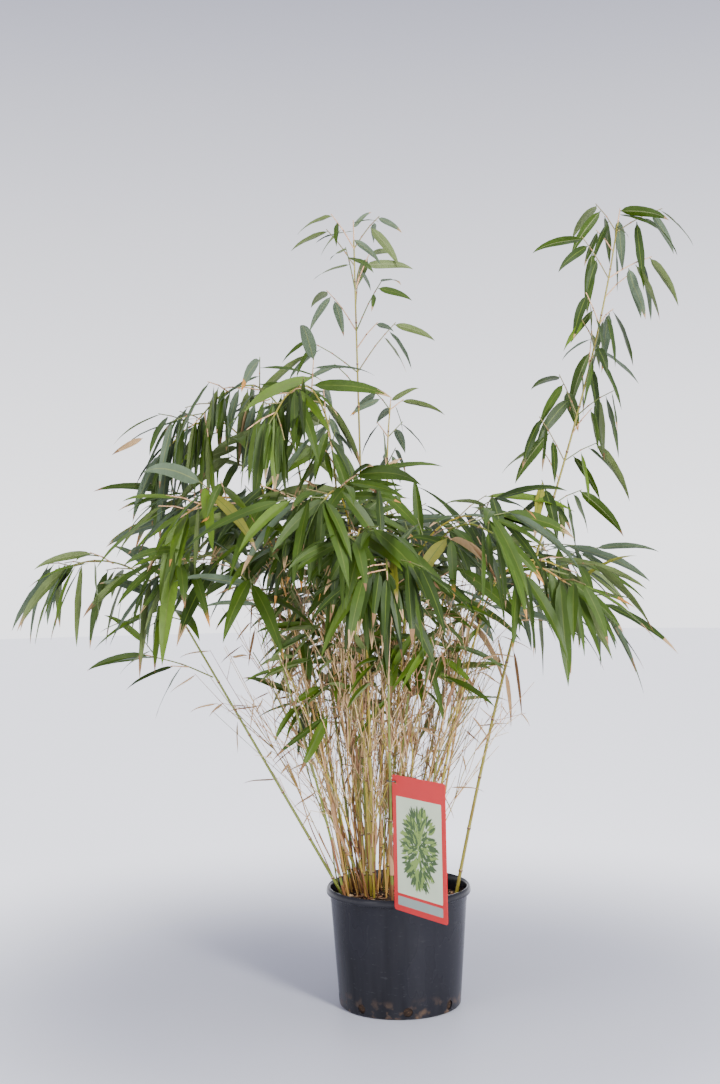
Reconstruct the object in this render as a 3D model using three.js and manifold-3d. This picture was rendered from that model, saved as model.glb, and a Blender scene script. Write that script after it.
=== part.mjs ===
// A clump of bamboo in a nursery pot, in millimetres, +Z up.
// The origin is the middle of the pot's flat underside. +X is to the right and +Y away from the view.
import * as THREE from 'three';
import { mergeVertices } from 'three/addons/utils/BufferGeometryUtils.js';
import Module from 'manifold-3d';

const wasm = await Module();
wasm.setup();

// Pot: thin moulded plastic, a little wider at the rim, with a rolled lip
const POT_HEIGHT = 167;
const POT_FOOT_RADIUS = 86;
const POT_NECK_RADIUS = 97;
const POT_LIP_RADIUS = 102.5;
const LIP_HEIGHT = 11;
const WALL = 2;
const FLOOR = 3;
const FOOT_ROUND = 3;
const POT_SIDES = 32;
const DRAIN_HOLES = 8;
const DRAIN_RADIUS = 6.5;
const DRAIN_RISE = 11;
const DRAIN_SIDES = 8;

// Soil: fills the pot to a little under the rim
const SOIL_TOP = 145;
const FIT = 0.3;

// Picture card, hung by a ring from a cane in front
const CARD_WIDTH = 118;
const CARD_HEIGHT = 182;
const CARD_THICKNESS = 0.9;
const CARD_CORNER = 4;
const CARD_TURN = 56;
const CARD_TILT = 0.5;
const CARD_HOLE_RADIUS = 2.6;
const CARD_HOLE_SIDES = 10;
const CARD_HOLE_INSET = 7;
const CARD_HOLE_DROP = 10;
const CARD_HOLE_HEIGHT = 329;
const CARD_FROM_CANE = 12;
const RING_WIRE = 0.8;
const RING_GAP = 0.4;

// Canes: from a flat cut at the soil to where their leaves begin
const CLUMP = { x: -32, y: 0 };
const CANE_SIDES = 6;
const CANE_STEPS = 5;
const CANE_TAPER = 0.62;
const CANE_BOW = 0.06;
const CANE_SAMPLES = 40;
const CANE_SPACING = 7;
const STEP_ASIDE = 4;

// Leafy tops: one stem that bends late, twigs set round it in turn, and leaves along each twig
const CLEARANCE = 0.45;
const SPACE_MARGIN = 45;
const BEND_LATE = 1.8;
const STEM_SIDES = 4;
const STEM_END_RADIUS = 1.4;
const TWIG_RADIUS = 1.05;
const TWIG_END_RADIUS = 0.85;
const TWIG_DROP = 0.2;
const TWIG_TURN = 0.382;
const TWIG_OPENING = 46;
const LAST_TWIG_SHARE = 0.4;

// Leaves: long blades, widest near the base, with a drawn-out tip
const LEAF_THICKNESS = 0.0125;
const LEAF_BELLY = 0.36;
const LEAF_ROOT = 4;
const LEAF_SPACING = 12;
const LEAF_DROOP = 18;
const LEAF_ROLL = 1.1;
const LEAF_FACING = 0.9;
const FIRST_LEAF_OPENING = 8;
const LEAF_OPENING = 30;
const LEAF_OPENING_STEP = 6;
const STEEPEST = -84;

const CANE_COLOURS = ['#8f8a3c', '#a39a4e', '#7e8136', '#b09a63'];
const LEAF_COLOURS = ['#3f5c1f', '#4c6b28', '#35521f', '#557236'];

// Ways a leafy top grows. Its stem turns late from the way it starts to its final pitch. Each joint
// bears twigs with a few leaves, which hang by so many degrees, more or less loosely, and are so wide
// for their length.
const UPRIGHT = {
  stem: 230, joints: 5, pitch: 80, twins: 2, twig: 44, leaves: 3, leaf: 84, breadth: 0.19, hang: 70,
  loose: 0.4,
};
const ARCHING = {
  stem: 270, joints: 5, pitch: -30, twins: 1, twig: 58, leaves: 4, leaf: 112, hang: 38, loose: 0.85,
  breadth: 0.145,
};
const SPREADING = {
  stem: 250, joints: 5, pitch: -8, twins: 1, twig: 62, leaves: 3, leaf: 118, hang: 22, loose: 0.85,
  breadth: 0.125,
};

// The canes that stand out one by one: foot at the soil, where the leaves begin, and their leafy top
const LEADING_CANES = [
  { name: 'right_tall', foot: [80, -6], tip: [208, -10, 650], radius: 2.9, heading: -3,
    top: { ...UPRIGHT, stem: 464, joints: 7, pitch: 80, leaves: 4, twig: 62, leaf: 77, hang: 86 } },
  { name: 'middle_tall', foot: [-38, 22], tip: [-46, 24, 850], radius: 2.6, heading: 110,
    top: { ...UPRIGHT, stem: 238, joints: 4, pitch: 88, twig: 84, leaf: 60, hang: 58 } },
  { name: 'middle_short', foot: [-12, 30], tip: [-6, 60, 735], radius: 2, heading: 30,
    top: { ...UPRIGHT, stem: 120, joints: 3, pitch: 84, leaves: 2, leaf: 58, twig: 34 } },
  { name: 'far_left', foot: [-74, -8], tip: [-290, -30, 535], bow: 0, radius: 2.6, heading: 183,
    top: { ...ARCHING, stem: 212, pitch: -12, leaf: 104, twig: 44, hang: 38 } },
  { name: 'high_left', foot: [-60, 14], tip: [-132, 12, 755], radius: 2.6, heading: 200,
    top: { ...ARCHING, stem: 240, pitch: -45, twins: 2, hang: 64, loose: 0.4, twig: 48, leaf: 98 } },
  { name: 'high_centre', foot: [-46, -22], tip: [-80, -48, 745], radius: 2.4, heading: 235,
    top: { ...ARCHING, stem: 230, pitch: -45, twins: 2, hang: 64, loose: 0.4, twig: 46, leaf: 98 } },
  { name: 'outer_left', foot: [-70, 30], tip: [-188, 45, 735], radius: 2.4, heading: 176,
    top: { ...ARCHING, stem: 205, pitch: -42, hang: 44 } },
  { name: 'low_left', foot: [-74, -30], tip: [-175, -90, 545], radius: 2.2, heading: 195,
    top: { ...ARCHING, stem: 200, hang: 34 } },
  { name: 'right_fan', foot: [30, -20], tip: [118, -40, 540], radius: 2.4, heading: -8,
    top: { ...SPREADING, stem: 165, pitch: -20 } },
  { name: 'right_low', foot: [45, 25], tip: [120, 75, 510], radius: 2.2, heading: 15,
    top: { ...SPREADING, stem: 215 } },
  { name: 'front', foot: [-10, -62], tip: [-13, -158, 560], radius: 2.3, heading: 270,
    top: { ...ARCHING, stem: 150, leaf: 100 } },
];

// The other canes stand in rings, each spread evenly round the clump, lower towards the right
const RINGS = [
  { name: 'inner', count: 4, reach: [55, 55], height: 552, rise: 20, radius: 2.2, from: 60,
    top: { ...ARCHING, stem: 218, pitch: 0 } },
  { name: 'middle', count: 5, reach: [108, 95], height: 550, rise: 35, radius: 2.1, from: 20,
    top: { ...ARCHING, stem: 235, pitch: -15 } },
  { name: 'outer', count: 6, reach: [150, 118], height: 560, rise: 20, radius: 2, from: 30,
    top: { ...ARCHING, stem: 205, pitch: -28, hang: 36 } },
];
const RING_FOOT = 0.3;
const RING_FALL = 0.35;

// Lesser boughs that leave a cane part of the way up
const SIDE_SPRAYS = [
  { name: 'far_left_low', cane: 'far_left', share: 0.82, heading: 175, pitch: 26,
    top: { ...ARCHING, stem: 95, joints: 2, pitch: 15, leaves: 2, twig: 26, leaf: 78, hang: 45 } },
  { name: 'right_tall_low', cane: 'right_tall', share: 0.8, heading: 5, pitch: 22,
    top: { ...SPREADING, stem: 110, joints: 3, leaf: 105, twig: 40, leaves: 3 } },
  { name: 'left_small', cane: 'high_left', share: 0.46, heading: 205, pitch: 25,
    top: { ...ARCHING, stem: 45, joints: 2, leaves: 2, twig: 20, leaf: 74, hang: 45 } },
];

const UP = new THREE.Vector3(0, 0, 1);
const CARD_ACROSS = direction(-CARD_TURN, 0);
const CARD_FACING = direction(-CARD_TURN - 90, 0);
const BLADE_PROFILE = [new THREE.Vector2(0, -1), new THREE.Vector2(1, 0), new THREE.Vector2(0, 1)];
const EDGE_REACH = Math.sin(Math.PI / 3);
const TURN = Math.PI * 2;
const NEAR = [0.001, 0.005];
const HEIGHT_STEPS = 400;

// A repeatable stream of numbers from 0 to 1
function randomFrom(seed) {
  let state = seed;
  return () => {
    state = (state + 0x6d2b79f5) | 0;
    let t = Math.imul(state ^ (state >>> 15), 1 | state);
    t = (t + Math.imul(t ^ (t >>> 7), 61 | t)) ^ t;
    return ((t ^ (t >>> 14)) >>> 0) / 4294967296;
  };
}

// A number within the given spread either side of nought
function wobble(random, spread) {
  return (random() * 2 - 1) * spread;
}

// The direction at a heading round the pot and a pitch above level, both in degrees
function direction(heading, pitch) {
  const level = Math.cos(THREE.MathUtils.degToRad(pitch));
  return new THREE.Vector3(
    level * Math.cos(THREE.MathUtils.degToRad(heading)),
    level * Math.sin(THREE.MathUtils.degToRad(heading)),
    Math.sin(THREE.MathUtils.degToRad(pitch)),
  );
}

// The direction turned from one way towards another at right angles to it
function between(way, other, angle) {
  return way.clone().multiplyScalar(Math.cos(angle)).addScaledVector(other, Math.sin(angle));
}

// The same way round the pot, but hanging by so many degrees more
function hanging(way, degrees) {
  const pitch = THREE.MathUtils.radToDeg(Math.asin(THREE.MathUtils.clamp(way.z, -1, 1)));
  const heading = THREE.MathUtils.radToDeg(Math.atan2(way.y, way.x));
  return direction(heading, Math.max(pitch - degrees, STEEPEST));
}

// Moves each corner of a geometry to where place() says
function reshape(geometry, place) {
  const positions = geometry.getAttribute('position');
  const corner = new THREE.Vector3();
  for (let i = 0; i < positions.count; i += 1) {
    const moved = place(corner.fromBufferAttribute(positions, i).clone());
    positions.setXYZ(i, moved.x, moved.y, moved.z);
  }
  return geometry;
}

function solidFrom(geometry) {
  geometry.deleteAttribute('normal');
  geometry.deleteAttribute('uv');
  const welded = mergeVertices(geometry, 1e-4);
  const index = welded.getIndex().array;
  const triangles = [];
  for (let i = 0; i < index.length; i += 3) {
    const [a, b, c] = [index[i], index[i + 1], index[i + 2]];
    if (a !== b && b !== c && c !== a) {
      triangles.push(a, b, c);
    }
  }
  return new wasm.Manifold(new wasm.Mesh({
    numProp: 3,
    vertProperties: Float32Array.from(welded.getAttribute('position').array),
    triVerts: Uint32Array.from(triangles),
    tolerance: 0.01,
  }));
}

function geometryFrom(solid) {
  const mesh = solid.getMesh();
  const geometry = new THREE.BufferGeometry();
  geometry.setAttribute('position', new THREE.BufferAttribute(mesh.vertProperties, 3));
  geometry.setIndex(new THREE.BufferAttribute(mesh.triVerts, 1));
  geometry.computeVertexNormals();
  return geometry;
}

// Whether every edge still lies between two faces once corners this close count as one
function staysClosed(solid, reach) {
  const geometry = new THREE.BufferGeometry();
  const { vertProperties, triVerts } = solid.getMesh();
  geometry.setAttribute('position', new THREE.BufferAttribute(vertProperties, 3));
  geometry.setIndex(new THREE.BufferAttribute(triVerts, 1));
  const index = mergeVertices(geometry, reach).getIndex().array;
  const faces = new Map();
  for (let i = 0; i < index.length; i += 3) {
    for (let side = 0; side < 3; side += 1) {
      const edge = [index[i + side], index[i + ((side + 1) % 3)]].sort((a, b) => a - b).join(' ');
      faces.set(edge, (faces.get(edge) ?? 0) + 1);
    }
  }
  return [...faces.values()].every((count) => count === 2);
}

// The body with a piece grown on, or nothing if that leaves scraps, hollows or faces that nearly meet
function grownOn(body, piece) {
  const grown = body.add(piece);
  const whole = grown.decompose().length === 1 && NEAR.every((reach) => staysClosed(grown, reach));
  return whole ? grown : null;
}

function ringShape(radius, sides) {
  const points = [];
  for (let i = 0; i < sides; i += 1) {
    const angle = (i / sides) * TURN;
    points.push(new THREE.Vector2(radius * Math.cos(angle), radius * Math.sin(angle)));
  }
  return new THREE.Shape(points);
}

// A tapering limb along a path, cut flat across at both ends
function limb(path, rootRadius, endRadius, sides, steps) {
  const tube = new THREE.ExtrudeGeometry(ringShape(1, sides), { depth: 1, steps, bevelEnabled: false });
  const { normals, binormals } = path.computeFrenetFrames(steps);
  return reshape(tube, (corner) => {
    const station = Math.round(corner.z * steps);
    const radius = THREE.MathUtils.lerp(rootRadius, endRadius, station / steps);
    return path.getPointAt(station / steps)
      .addScaledVector(normals[station], corner.x * radius)
      .addScaledVector(binormals[station], corner.y * radius);
  });
}

function turned(profile, sides) {
  const points = profile.map(([radius, height]) => new THREE.Vector2(radius, height));
  return new THREE.LatheGeometry(points, sides).rotateX(Math.PI / 2);
}

function wallRadius(height) {
  const share = height / (POT_HEIGHT - LIP_HEIGHT);
  return THREE.MathUtils.lerp(POT_FOOT_RADIUS, POT_NECK_RADIUS, share);
}

function makePot() {
  const underLip = POT_HEIGHT - LIP_HEIGHT;
  const profile = [
    [0, 0],
    [POT_FOOT_RADIUS - FOOT_ROUND, 0],
    [wallRadius(FOOT_ROUND), FOOT_ROUND],
    [POT_NECK_RADIUS, underLip],
    [POT_LIP_RADIUS - 1, underLip + 1.5],
    [POT_LIP_RADIUS, underLip + 4],
    [POT_LIP_RADIUS - 0.7, POT_HEIGHT - 2],
    [POT_LIP_RADIUS - 2.5, POT_HEIGHT],
    [POT_NECK_RADIUS + 0.5, POT_HEIGHT],
    [POT_NECK_RADIUS - WALL, underLip],
    [wallRadius(FLOOR) - WALL, FLOOR],
    [0, FLOOR],
  ];
  let shell = solidFrom(turned(profile, POT_SIDES));
  // Each drain hole is in the middle of one of the flats that make up the round wall
  for (let i = 0; i < DRAIN_HOLES; i += 1) {
    const plug = new THREE.CylinderGeometry(DRAIN_RADIUS, DRAIN_RADIUS, WALL * 8, DRAIN_SIDES);
    plug.rotateZ(Math.PI / 2);
    plug.translate(POT_FOOT_RADIUS, 0, DRAIN_RISE);
    plug.rotateZ((i / DRAIN_HOLES + 0.5 / POT_SIDES) * TURN);
    shell = shell.subtract(solidFrom(plug));
  }
  return shell;
}

function makeSoil() {
  const low = FLOOR + FIT;
  const profile = [
    [0, low],
    [wallRadius(low) - WALL - FIT, low],
    [wallRadius(SOIL_TOP) - WALL - FIT, SOIL_TOP],
    [0, SOIL_TOP],
  ];
  return solidFrom(turned(profile, POT_SIDES));
}

// A cane leans out a little at first and more towards its top, by the share that bow gives
function canePath({ foot, tip, bow = CANE_BOW }) {
  const root = new THREE.Vector3(foot[0], foot[1], SOIL_TOP + FIT);
  const end = new THREE.Vector3(...tip);
  const middle = new THREE.Vector3(
    THREE.MathUtils.lerp(root.x, end.x, 0.5 - bow),
    THREE.MathUtils.lerp(root.y, end.y, 0.5 - bow),
    THREE.MathUtils.lerp(root.z, end.z, 0.5 + bow),
  );
  return new THREE.QuadraticBezierCurve3(root, middle, end);
}

// The foot of a cane is cut level with the soil, so its tube starts below and is trimmed there
function makeCane(path, radius) {
  const tangent = path.getTangentAt(0);
  const sunk = new THREE.CatmullRomCurve3([
    path.getPointAt(0).addScaledVector(tangent, -radius * 2),
    ...path.getSpacedPoints(CANE_STEPS),
  ]);
  const tube = solidFrom(limb(sunk, radius, radius * CANE_TAPER, CANE_SIDES, CANE_STEPS + 1));
  const size = radius * 9;
  const cutter = new THREE.BoxGeometry(size, size, size);
  const root = path.getPointAt(0);
  cutter.translate(root.x, root.y, root.z - size / 2);
  return tube.subtract(solidFrom(cutter));
}

// The least distance between the centre lines of two canes
function caneGap(one, other) {
  const points = other.path.getSpacedPoints(CANE_SAMPLES);
  return Math.min(...one.path.getSpacedPoints(CANE_SAMPLES).map(
    (point) => Math.min(...points.map((next) => next.distanceTo(point))),
  ));
}

// A ring's canes. One that would touch an earlier cane stands a little further round.
function addRing(ring, seed, canes) {
  const random = randomFrom(seed);
  for (let i = 0; i < ring.count; i += 1) {
    let heading = ring.from + (i * 360) / ring.count + wobble(random, 9);
    const reach = 1 + wobble(random, 0.14);
    const lift = wobble(random, ring.rise);
    let cane;
    do {
      const way = direction(heading, 0);
      const out = [way.x * ring.reach[0] * reach, way.y * ring.reach[1] * reach];
      cane = {
        name: `${ring.name}_${i + 1}`,
        foot: [CLUMP.x + out[0] * RING_FOOT, CLUMP.y + out[1] * RING_FOOT],
        tip: [CLUMP.x + out[0], CLUMP.y + out[1], ring.height - out[0] * RING_FALL + lift],
        radius: ring.radius,
        top: ring.top,
        heading,
      };
      cane.path = canePath(cane);
      heading += STEP_ASIDE;
    } while (canes.some((other) => caneGap(cane, other) < CANE_SPACING));
    canes.push(cane);
  }
}

// The joints of a leafy stem, which turns from the way it starts to its final heading and pitch
function stemJoints(start, aim, growth, heading) {
  const goal = direction(heading, growth.pitch);
  const joints = [start];
  const internode = growth.stem / growth.joints;
  for (let i = 0; i < growth.joints; i += 1) {
    const share = ((i + 1) / growth.joints) ** BEND_LATE;
    const step = aim.clone().lerp(goal, share).normalize();
    joints.push(joints[i].clone().addScaledVector(step, internode));
  }
  return joints;
}

// One blade: its root is sunk back into the twig, and its end hangs further than its start
function makeLeaf(random, point, way, growth, twigWay) {
  const length = growth.leaf * (1 + wobble(random, 0.27));
  const hang = growth.hang * (1 + wobble(random, growth.loose));
  const roll = wobble(random, LEAF_ROLL);
  const along = hanging(way, hang);
  const onward = hanging(along, LEAF_DROOP);
  const middle = point.clone().addScaledVector(along, length * LEAF_BELLY);
  const outward = new THREE.Vector3(point.x - CLUMP.x, point.y - CLUMP.y, 0).normalize();
  const facing = UP.clone().addScaledVector(outward, LEAF_FACING);
  const side = along.clone().cross(facing).normalize().applyAxisAngle(along, roll);
  return {
    root: point.clone().addScaledVector(twigWay, -LEAF_ROOT),
    middle,
    end: middle.clone().addScaledVector(onward, length * (1 - LEAF_BELLY)),
    side,
    face: side.clone().cross(along),
    width: length * growth.breadth * 0.5,
    depth: length * LEAF_THICKNESS,
  };
}

// The twigs and leaves of one leafy top, in the order they are tried
function growSpray(spray) {
  const { growth, joints } = spray;
  const random = randomFrom(spray.seed);
  const twigs = [];
  const last = joints.length - 1;
  for (let i = 1; i <= last; i += 1) {
    const ahead = joints[i].clone().sub(joints[i - 1]).normalize();
    const fork = joints[i].clone().lerp(joints[i - 1], TWIG_DROP);
    const across = ahead.clone().cross(UP).normalize();
    for (let twin = 0; twin < growth.twins; twin += 1) {
      const turn = (i * TWIG_TURN + twin / growth.twins) * TURN + wobble(random, 0.5);
      const opening = THREE.MathUtils.degToRad(TWIG_OPENING + wobble(random, 12));
      const length = growth.twig * (1 + wobble(random, 0.25));
      const way = between(ahead, across.clone().applyAxisAngle(ahead, turn), opening);
      twigs.push(growTwig(random, fork, way, length, growth));
    }
  }
  const onward = joints[last].clone().sub(joints[last - 1]).normalize();
  const tip = joints[last].clone().addScaledVector(onward, -LEAF_ROOT);
  twigs.push(growTwig(random, tip, onward, growth.twig * LAST_TWIG_SHARE, growth));
  return twigs;
}

function growTwig(random, from, way, length, growth) {
  const end = from.clone().addScaledVector(way, length);
  const plane = way.clone().cross(UP).normalize();
  const leaves = [];
  for (let i = 0; i < growth.leaves; i += 1) {
    const hand = i % 2 === 0 ? 1 : -1;
    const further = LEAF_OPENING + i * LEAF_OPENING_STEP + wobble(random, 8);
    const opening = THREE.MathUtils.degToRad(i === 0 ? FIRST_LEAF_OPENING : further) * hand;
    const point = end.clone().addScaledVector(way, -LEAF_SPACING * i);
    leaves.push(makeLeaf(random, point, between(way, plane, opening), growth, way));
  }
  return { from, end, leaves };
}

// A six-faced blade, pointed at root and end: flat below, with a low ridge along its upper side
function bladeSolid(leaf, grown) {
  const spindle = new THREE.LatheGeometry(BLADE_PROFILE, 3);
  return solidFrom(reshape(spindle, (corner) => {
    const spine = [leaf.root, leaf.middle, leaf.end][Math.round(corner.y) + 1];
    const out = (corner.x / EDGE_REACH) * (leaf.width + grown);
    const up = corner.z * (corner.z > 0 ? leaf.depth + grown : grown);
    return spine.clone().addScaledVector(leaf.side, out).addScaledVector(leaf.face, up);
  }));
}

function twigSolid(twig, grown) {
  const path = new THREE.LineCurve3(twig.from, twig.end);
  return solidFrom(limb(path, TWIG_RADIUS + grown, TWIG_END_RADIUS + grown, 3, 1));
}

function touches(solid, others) {
  return others.some((other) => other.intersect(solid).volume() > 0);
}

// Whether a point lies nearer this spray's own stem than any other's, within a small margin
function inOwnSpace(point, spray, sprays) {
  const distance = (other) => Math.min(...other.joints.map((joint) => joint.distanceTo(point)));
  const own = distance(spray) - SPACE_MARGIN;
  return sprays.every((other) => other === spray || distance(other) > own);
}

function stemSolid(spray, grown) {
  const path = new THREE.CatmullRomCurve3(spray.joints);
  const steps = spray.joints.length - 1;
  return solidFrom(limb(path, spray.rootRadius + grown, STEM_END_RADIUS + grown, STEM_SIDES, steps));
}

// Sets a spray's stem off from its start. One that would touch something turns a little further round.
function placeStem(spray, obstacles) {
  let { heading } = spray;
  do {
    spray.joints = stemJoints(spray.start, spray.aim, spray.growth, heading);
    heading += STEP_ASIDE;
  } while (touches(stemSolid(spray, CLEARANCE), obstacles));
  spray.stem = stemSolid(spray, 0);
}

// Stem, twigs and leaves as one body. What would leave the spray's own space or touch is skipped.
function makeSpray(spray, sprays, obstacles) {
  let body = spray.stem;
  for (const twig of growSpray(spray)) {
    const near = [...obstacles, body];
    const bare = touches(twigSolid(twig, CLEARANCE), obstacles) ? null : grownOn(body, twigSolid(twig, 0));
    if (bare === null) {
      continue;
    }
    body = twig.leaves.reduce((grown, leaf) => {
      const inside = leaf.end.z > POT_HEIGHT && inOwnSpace(leaf.middle, spray, sprays);
      const free = inside && !touches(bladeSolid(leaf, CLEARANCE), near);
      return (free && grownOn(grown, bladeSolid(leaf, 0))) || grown;
    }, bare);
  }
  return body;
}

function finish(colour, roughness, metalness = 0) {
  return new THREE.MeshStandardMaterial({ color: colour, roughness, metalness });
}

const plant = new THREE.Group();

function addPart(name, solid, material) {
  const mesh = new THREE.Mesh(geometryFrom(solid), material);
  mesh.name = name;
  plant.add(mesh);
}

// Where a cane's centre line reaches a height, and the share of its length there
function caneCentreAt(cane, height) {
  const shares = Array.from({ length: HEIGHT_STEPS + 1 }, (_, i) => i / HEIGHT_STEPS);
  const share = shares.find((candidate) => cane.path.getPointAt(candidate).z >= height);
  return { point: cane.path.getPointAt(share), share };
}

function caneRadiusAt(cane, share) {
  return THREE.MathUtils.lerp(cane.radius, cane.radius * CANE_TAPER, share);
}

// A card in its own plane, its hole at the middle, then turned to hang from the hole
function makeCard(holeCentre) {
  const card = new THREE.Shape();
  const left = -CARD_HOLE_INSET;
  const right = left + CARD_WIDTH;
  const top = CARD_HOLE_DROP;
  const bottom = top - CARD_HEIGHT;
  card.moveTo(left + CARD_CORNER, bottom);
  card.lineTo(right - CARD_CORNER, bottom);
  card.quadraticCurveTo(right, bottom, right, bottom + CARD_CORNER);
  card.lineTo(right, top - CARD_CORNER);
  card.quadraticCurveTo(right, top, right - CARD_CORNER, top);
  card.lineTo(left + CARD_CORNER, top);
  card.quadraticCurveTo(left, top, left, top - CARD_CORNER);
  card.lineTo(left, bottom + CARD_CORNER);
  card.quadraticCurveTo(left, bottom, left + CARD_CORNER, bottom);
  card.holes.push(new THREE.Path(ringShape(CARD_HOLE_RADIUS, CARD_HOLE_SIDES).getPoints()));
  const sheet = { depth: CARD_THICKNESS, bevelEnabled: false, curveSegments: 3 };
  const plate = new THREE.ExtrudeGeometry(card, sheet);
  plate.translate(0, 0, -CARD_THICKNESS / 2);
  plate.rotateZ(THREE.MathUtils.degToRad(CARD_TILT));
  plate.applyMatrix4(new THREE.Matrix4().makeBasis(CARD_ACROSS, UP, CARD_FACING));
  plate.translate(holeCentre.x, holeCentre.y, holeCentre.z);
  return solidFrom(plate);
}

// The ring lies level: through the card's hole near its top, and round the far side of the cane
function makeRing(holeCentre, caneRadius) {
  const reach = CARD_FROM_CANE + caneRadius + RING_GAP + RING_WIRE;
  const ring = new THREE.TorusGeometry(reach / 2, RING_WIRE, 5, 16);
  const centre = holeCentre.clone().addScaledVector(CARD_ACROSS, -reach / 2);
  const height = holeCentre.z + CARD_HOLE_RADIUS - RING_WIRE - RING_GAP;
  ring.translate(centre.x, centre.y, height);
  return solidFrom(ring);
}

const pot = makePot();
addPart('pot', pot, finish('#2b2c31', 0.42));
addPart('soil', makeSoil(), finish('#3a2a20', 0.95));

const canes = LEADING_CANES.map((cane) => ({ ...cane, path: canePath(cane) }));
RINGS.forEach((ring, i) => addRing(ring, 11 + i, canes));
canes.forEach((cane, i) => {
  cane.solid = makeCane(cane.path, cane.radius);
  addPart(`cane_${cane.name}`, cane.solid, finish(CANE_COLOURS[i % CANE_COLOURS.length], 0.6));
});

const frontCane = canes.find((cane) => cane.name === 'front');
const hanger = caneCentreAt(frontCane, CARD_HOLE_HEIGHT);
const hole = hanger.point.clone().addScaledVector(CARD_ACROSS, CARD_FROM_CANE).setZ(CARD_HOLE_HEIGHT);
const card = makeCard(hole);
addPart('label_card', card, finish('#c9443c', 0.35));
const ring = makeRing(hole, caneRadiusAt(frontCane, hanger.share));
addPart('label_ring', ring, finish('#3a3a3a', 0.5));

// Every cane ends in a leafy top, which begins just clear of its tip
const sprays = canes.map((cane, i) => {
  const aim = cane.path.getTangentAt(1);
  const start = cane.path.getPointAt(1).addScaledVector(aim, FIT);
  const { name, heading, top: growth } = cane;
  return { name, heading, growth, aim, start, rootRadius: caneRadiusAt(cane, 1), seed: 500 + i * 31 };
});

// A side bough begins just clear of the cane's surface
SIDE_SPRAYS.forEach((bough, i) => {
  const cane = canes.find((candidate) => candidate.name === bough.cane);
  const aim = direction(bough.heading, bough.pitch);
  const opening = aim.angleTo(cane.path.getTangentAt(bough.share));
  const cover = caneRadiusAt(cane, bough.share) + FIT * 2 + TWIG_RADIUS * Math.cos(opening);
  const start = cane.path.getPointAt(bough.share).addScaledVector(aim, cover / Math.sin(opening));
  const { name, heading, top: growth } = bough;
  sprays.push({ name, heading, growth, aim, start, rootRadius: TWIG_RADIUS, seed: 900 + i * 31 });
});

const fixed = [pot, card, ring, ...canes.map((cane) => cane.solid)];
sprays.forEach((spray, i) => {
  placeStem(spray, [...fixed, ...sprays.slice(0, i).map((earlier) => earlier.stem)]);
});
sprays.forEach((spray, i) => {
  const others = sprays.filter((other) => other !== spray).map((other) => other.solid ?? other.stem);
  spray.solid = makeSpray(spray, sprays, [...fixed, ...others]);
  const colour = LEAF_COLOURS[i % LEAF_COLOURS.length];
  addPart(`leaves_${spray.name}`, spray.solid, finish(colour, 0.55));
});

export default plant;
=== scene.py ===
# A bamboo clump in a nursery pot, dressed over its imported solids. Sizes are in millimetres, and a mesh
# is scaled to metres when it is placed. The camera stands in front, looking along +Y.
import math
import bmesh
import bpy
import numpy as np
from mathutils import Matrix, Vector, noise
from mathutils.bvhtree import BVHTree


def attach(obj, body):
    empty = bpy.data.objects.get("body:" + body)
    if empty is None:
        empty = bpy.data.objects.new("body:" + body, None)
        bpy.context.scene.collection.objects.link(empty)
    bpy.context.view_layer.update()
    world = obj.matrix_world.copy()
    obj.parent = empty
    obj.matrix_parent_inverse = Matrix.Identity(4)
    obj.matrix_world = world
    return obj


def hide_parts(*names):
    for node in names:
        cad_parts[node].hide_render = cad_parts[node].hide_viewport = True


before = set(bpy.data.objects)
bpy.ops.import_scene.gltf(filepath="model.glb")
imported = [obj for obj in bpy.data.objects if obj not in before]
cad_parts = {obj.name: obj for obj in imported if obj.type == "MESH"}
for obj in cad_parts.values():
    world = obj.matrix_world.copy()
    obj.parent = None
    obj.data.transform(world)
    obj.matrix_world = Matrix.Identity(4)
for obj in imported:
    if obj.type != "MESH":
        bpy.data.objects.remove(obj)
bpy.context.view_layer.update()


# Nursery pot
# A thin shell of black plastic, moulded in one piece, with a rolled lip for lifting and round drain
# holes low in its wall. Handling has scuffed it, and soil has dried on it round the holes.
MM = 0.001
POT_HEIGHT = 167
POT_FOOT_RADIUS = 86
POT_NECK_RADIUS = 97
POT_LIP_RADIUS = 102.5
POT_UNDER_LIP = 156
POT_WALL = 2
POT_FLOOR = 3
POT_STEPS = 144
DRAIN_HOLES = 8
DRAIN_RADIUS = 6.5
DRAIN_RISE = 11
DRAIN_TURN = math.tau / 64


def wall_radius(height):
    share = height / POT_UNDER_LIP
    return POT_FOOT_RADIUS + (POT_NECK_RADIUS - POT_FOOT_RADIUS) * share


def spun(form, steps):
    """A line in the upright plane, spun all the way round into a body."""
    bmesh.ops.spin(form, geom=form.verts[:] + form.edges[:], cent=(0, 0, 0), axis=(0, 0, 1),
                   angle=math.tau, steps=steps, use_merge=True)
    bmesh.ops.remove_doubles(form, verts=form.verts, dist=0.001)
    bmesh.ops.recalc_face_normals(form, faces=form.faces)
    return form


def mesh_of(form, name):
    mesh = bpy.data.meshes.new(name)
    form.to_mesh(mesh)
    form.free()
    return mesh


def linked(name, data):
    """A new object in the scene."""
    made = bpy.data.objects.new(name, data)
    bpy.context.scene.collection.objects.link(made)
    return made


def piece_of(mesh, finishes, sharp):
    """A smooth piece of the plant, which rides with it."""
    mesh.polygons.foreach_set("use_smooth", [True] * len(mesh.polygons))
    mesh.set_sharp_from_angle(angle=math.radians(sharp))
    for finish in finishes:
        mesh.materials.append(finish)
    piece = linked(mesh.name, mesh)
    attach(piece, "root")
    return piece


def placed(form, name, finishes, sharp=35):
    """A finished bmesh as a piece, scaled to metres."""
    bmesh.ops.scale(form, vec=(MM, MM, MM), verts=form.verts)
    return piece_of(mesh_of(form, name), finishes, sharp)


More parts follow.
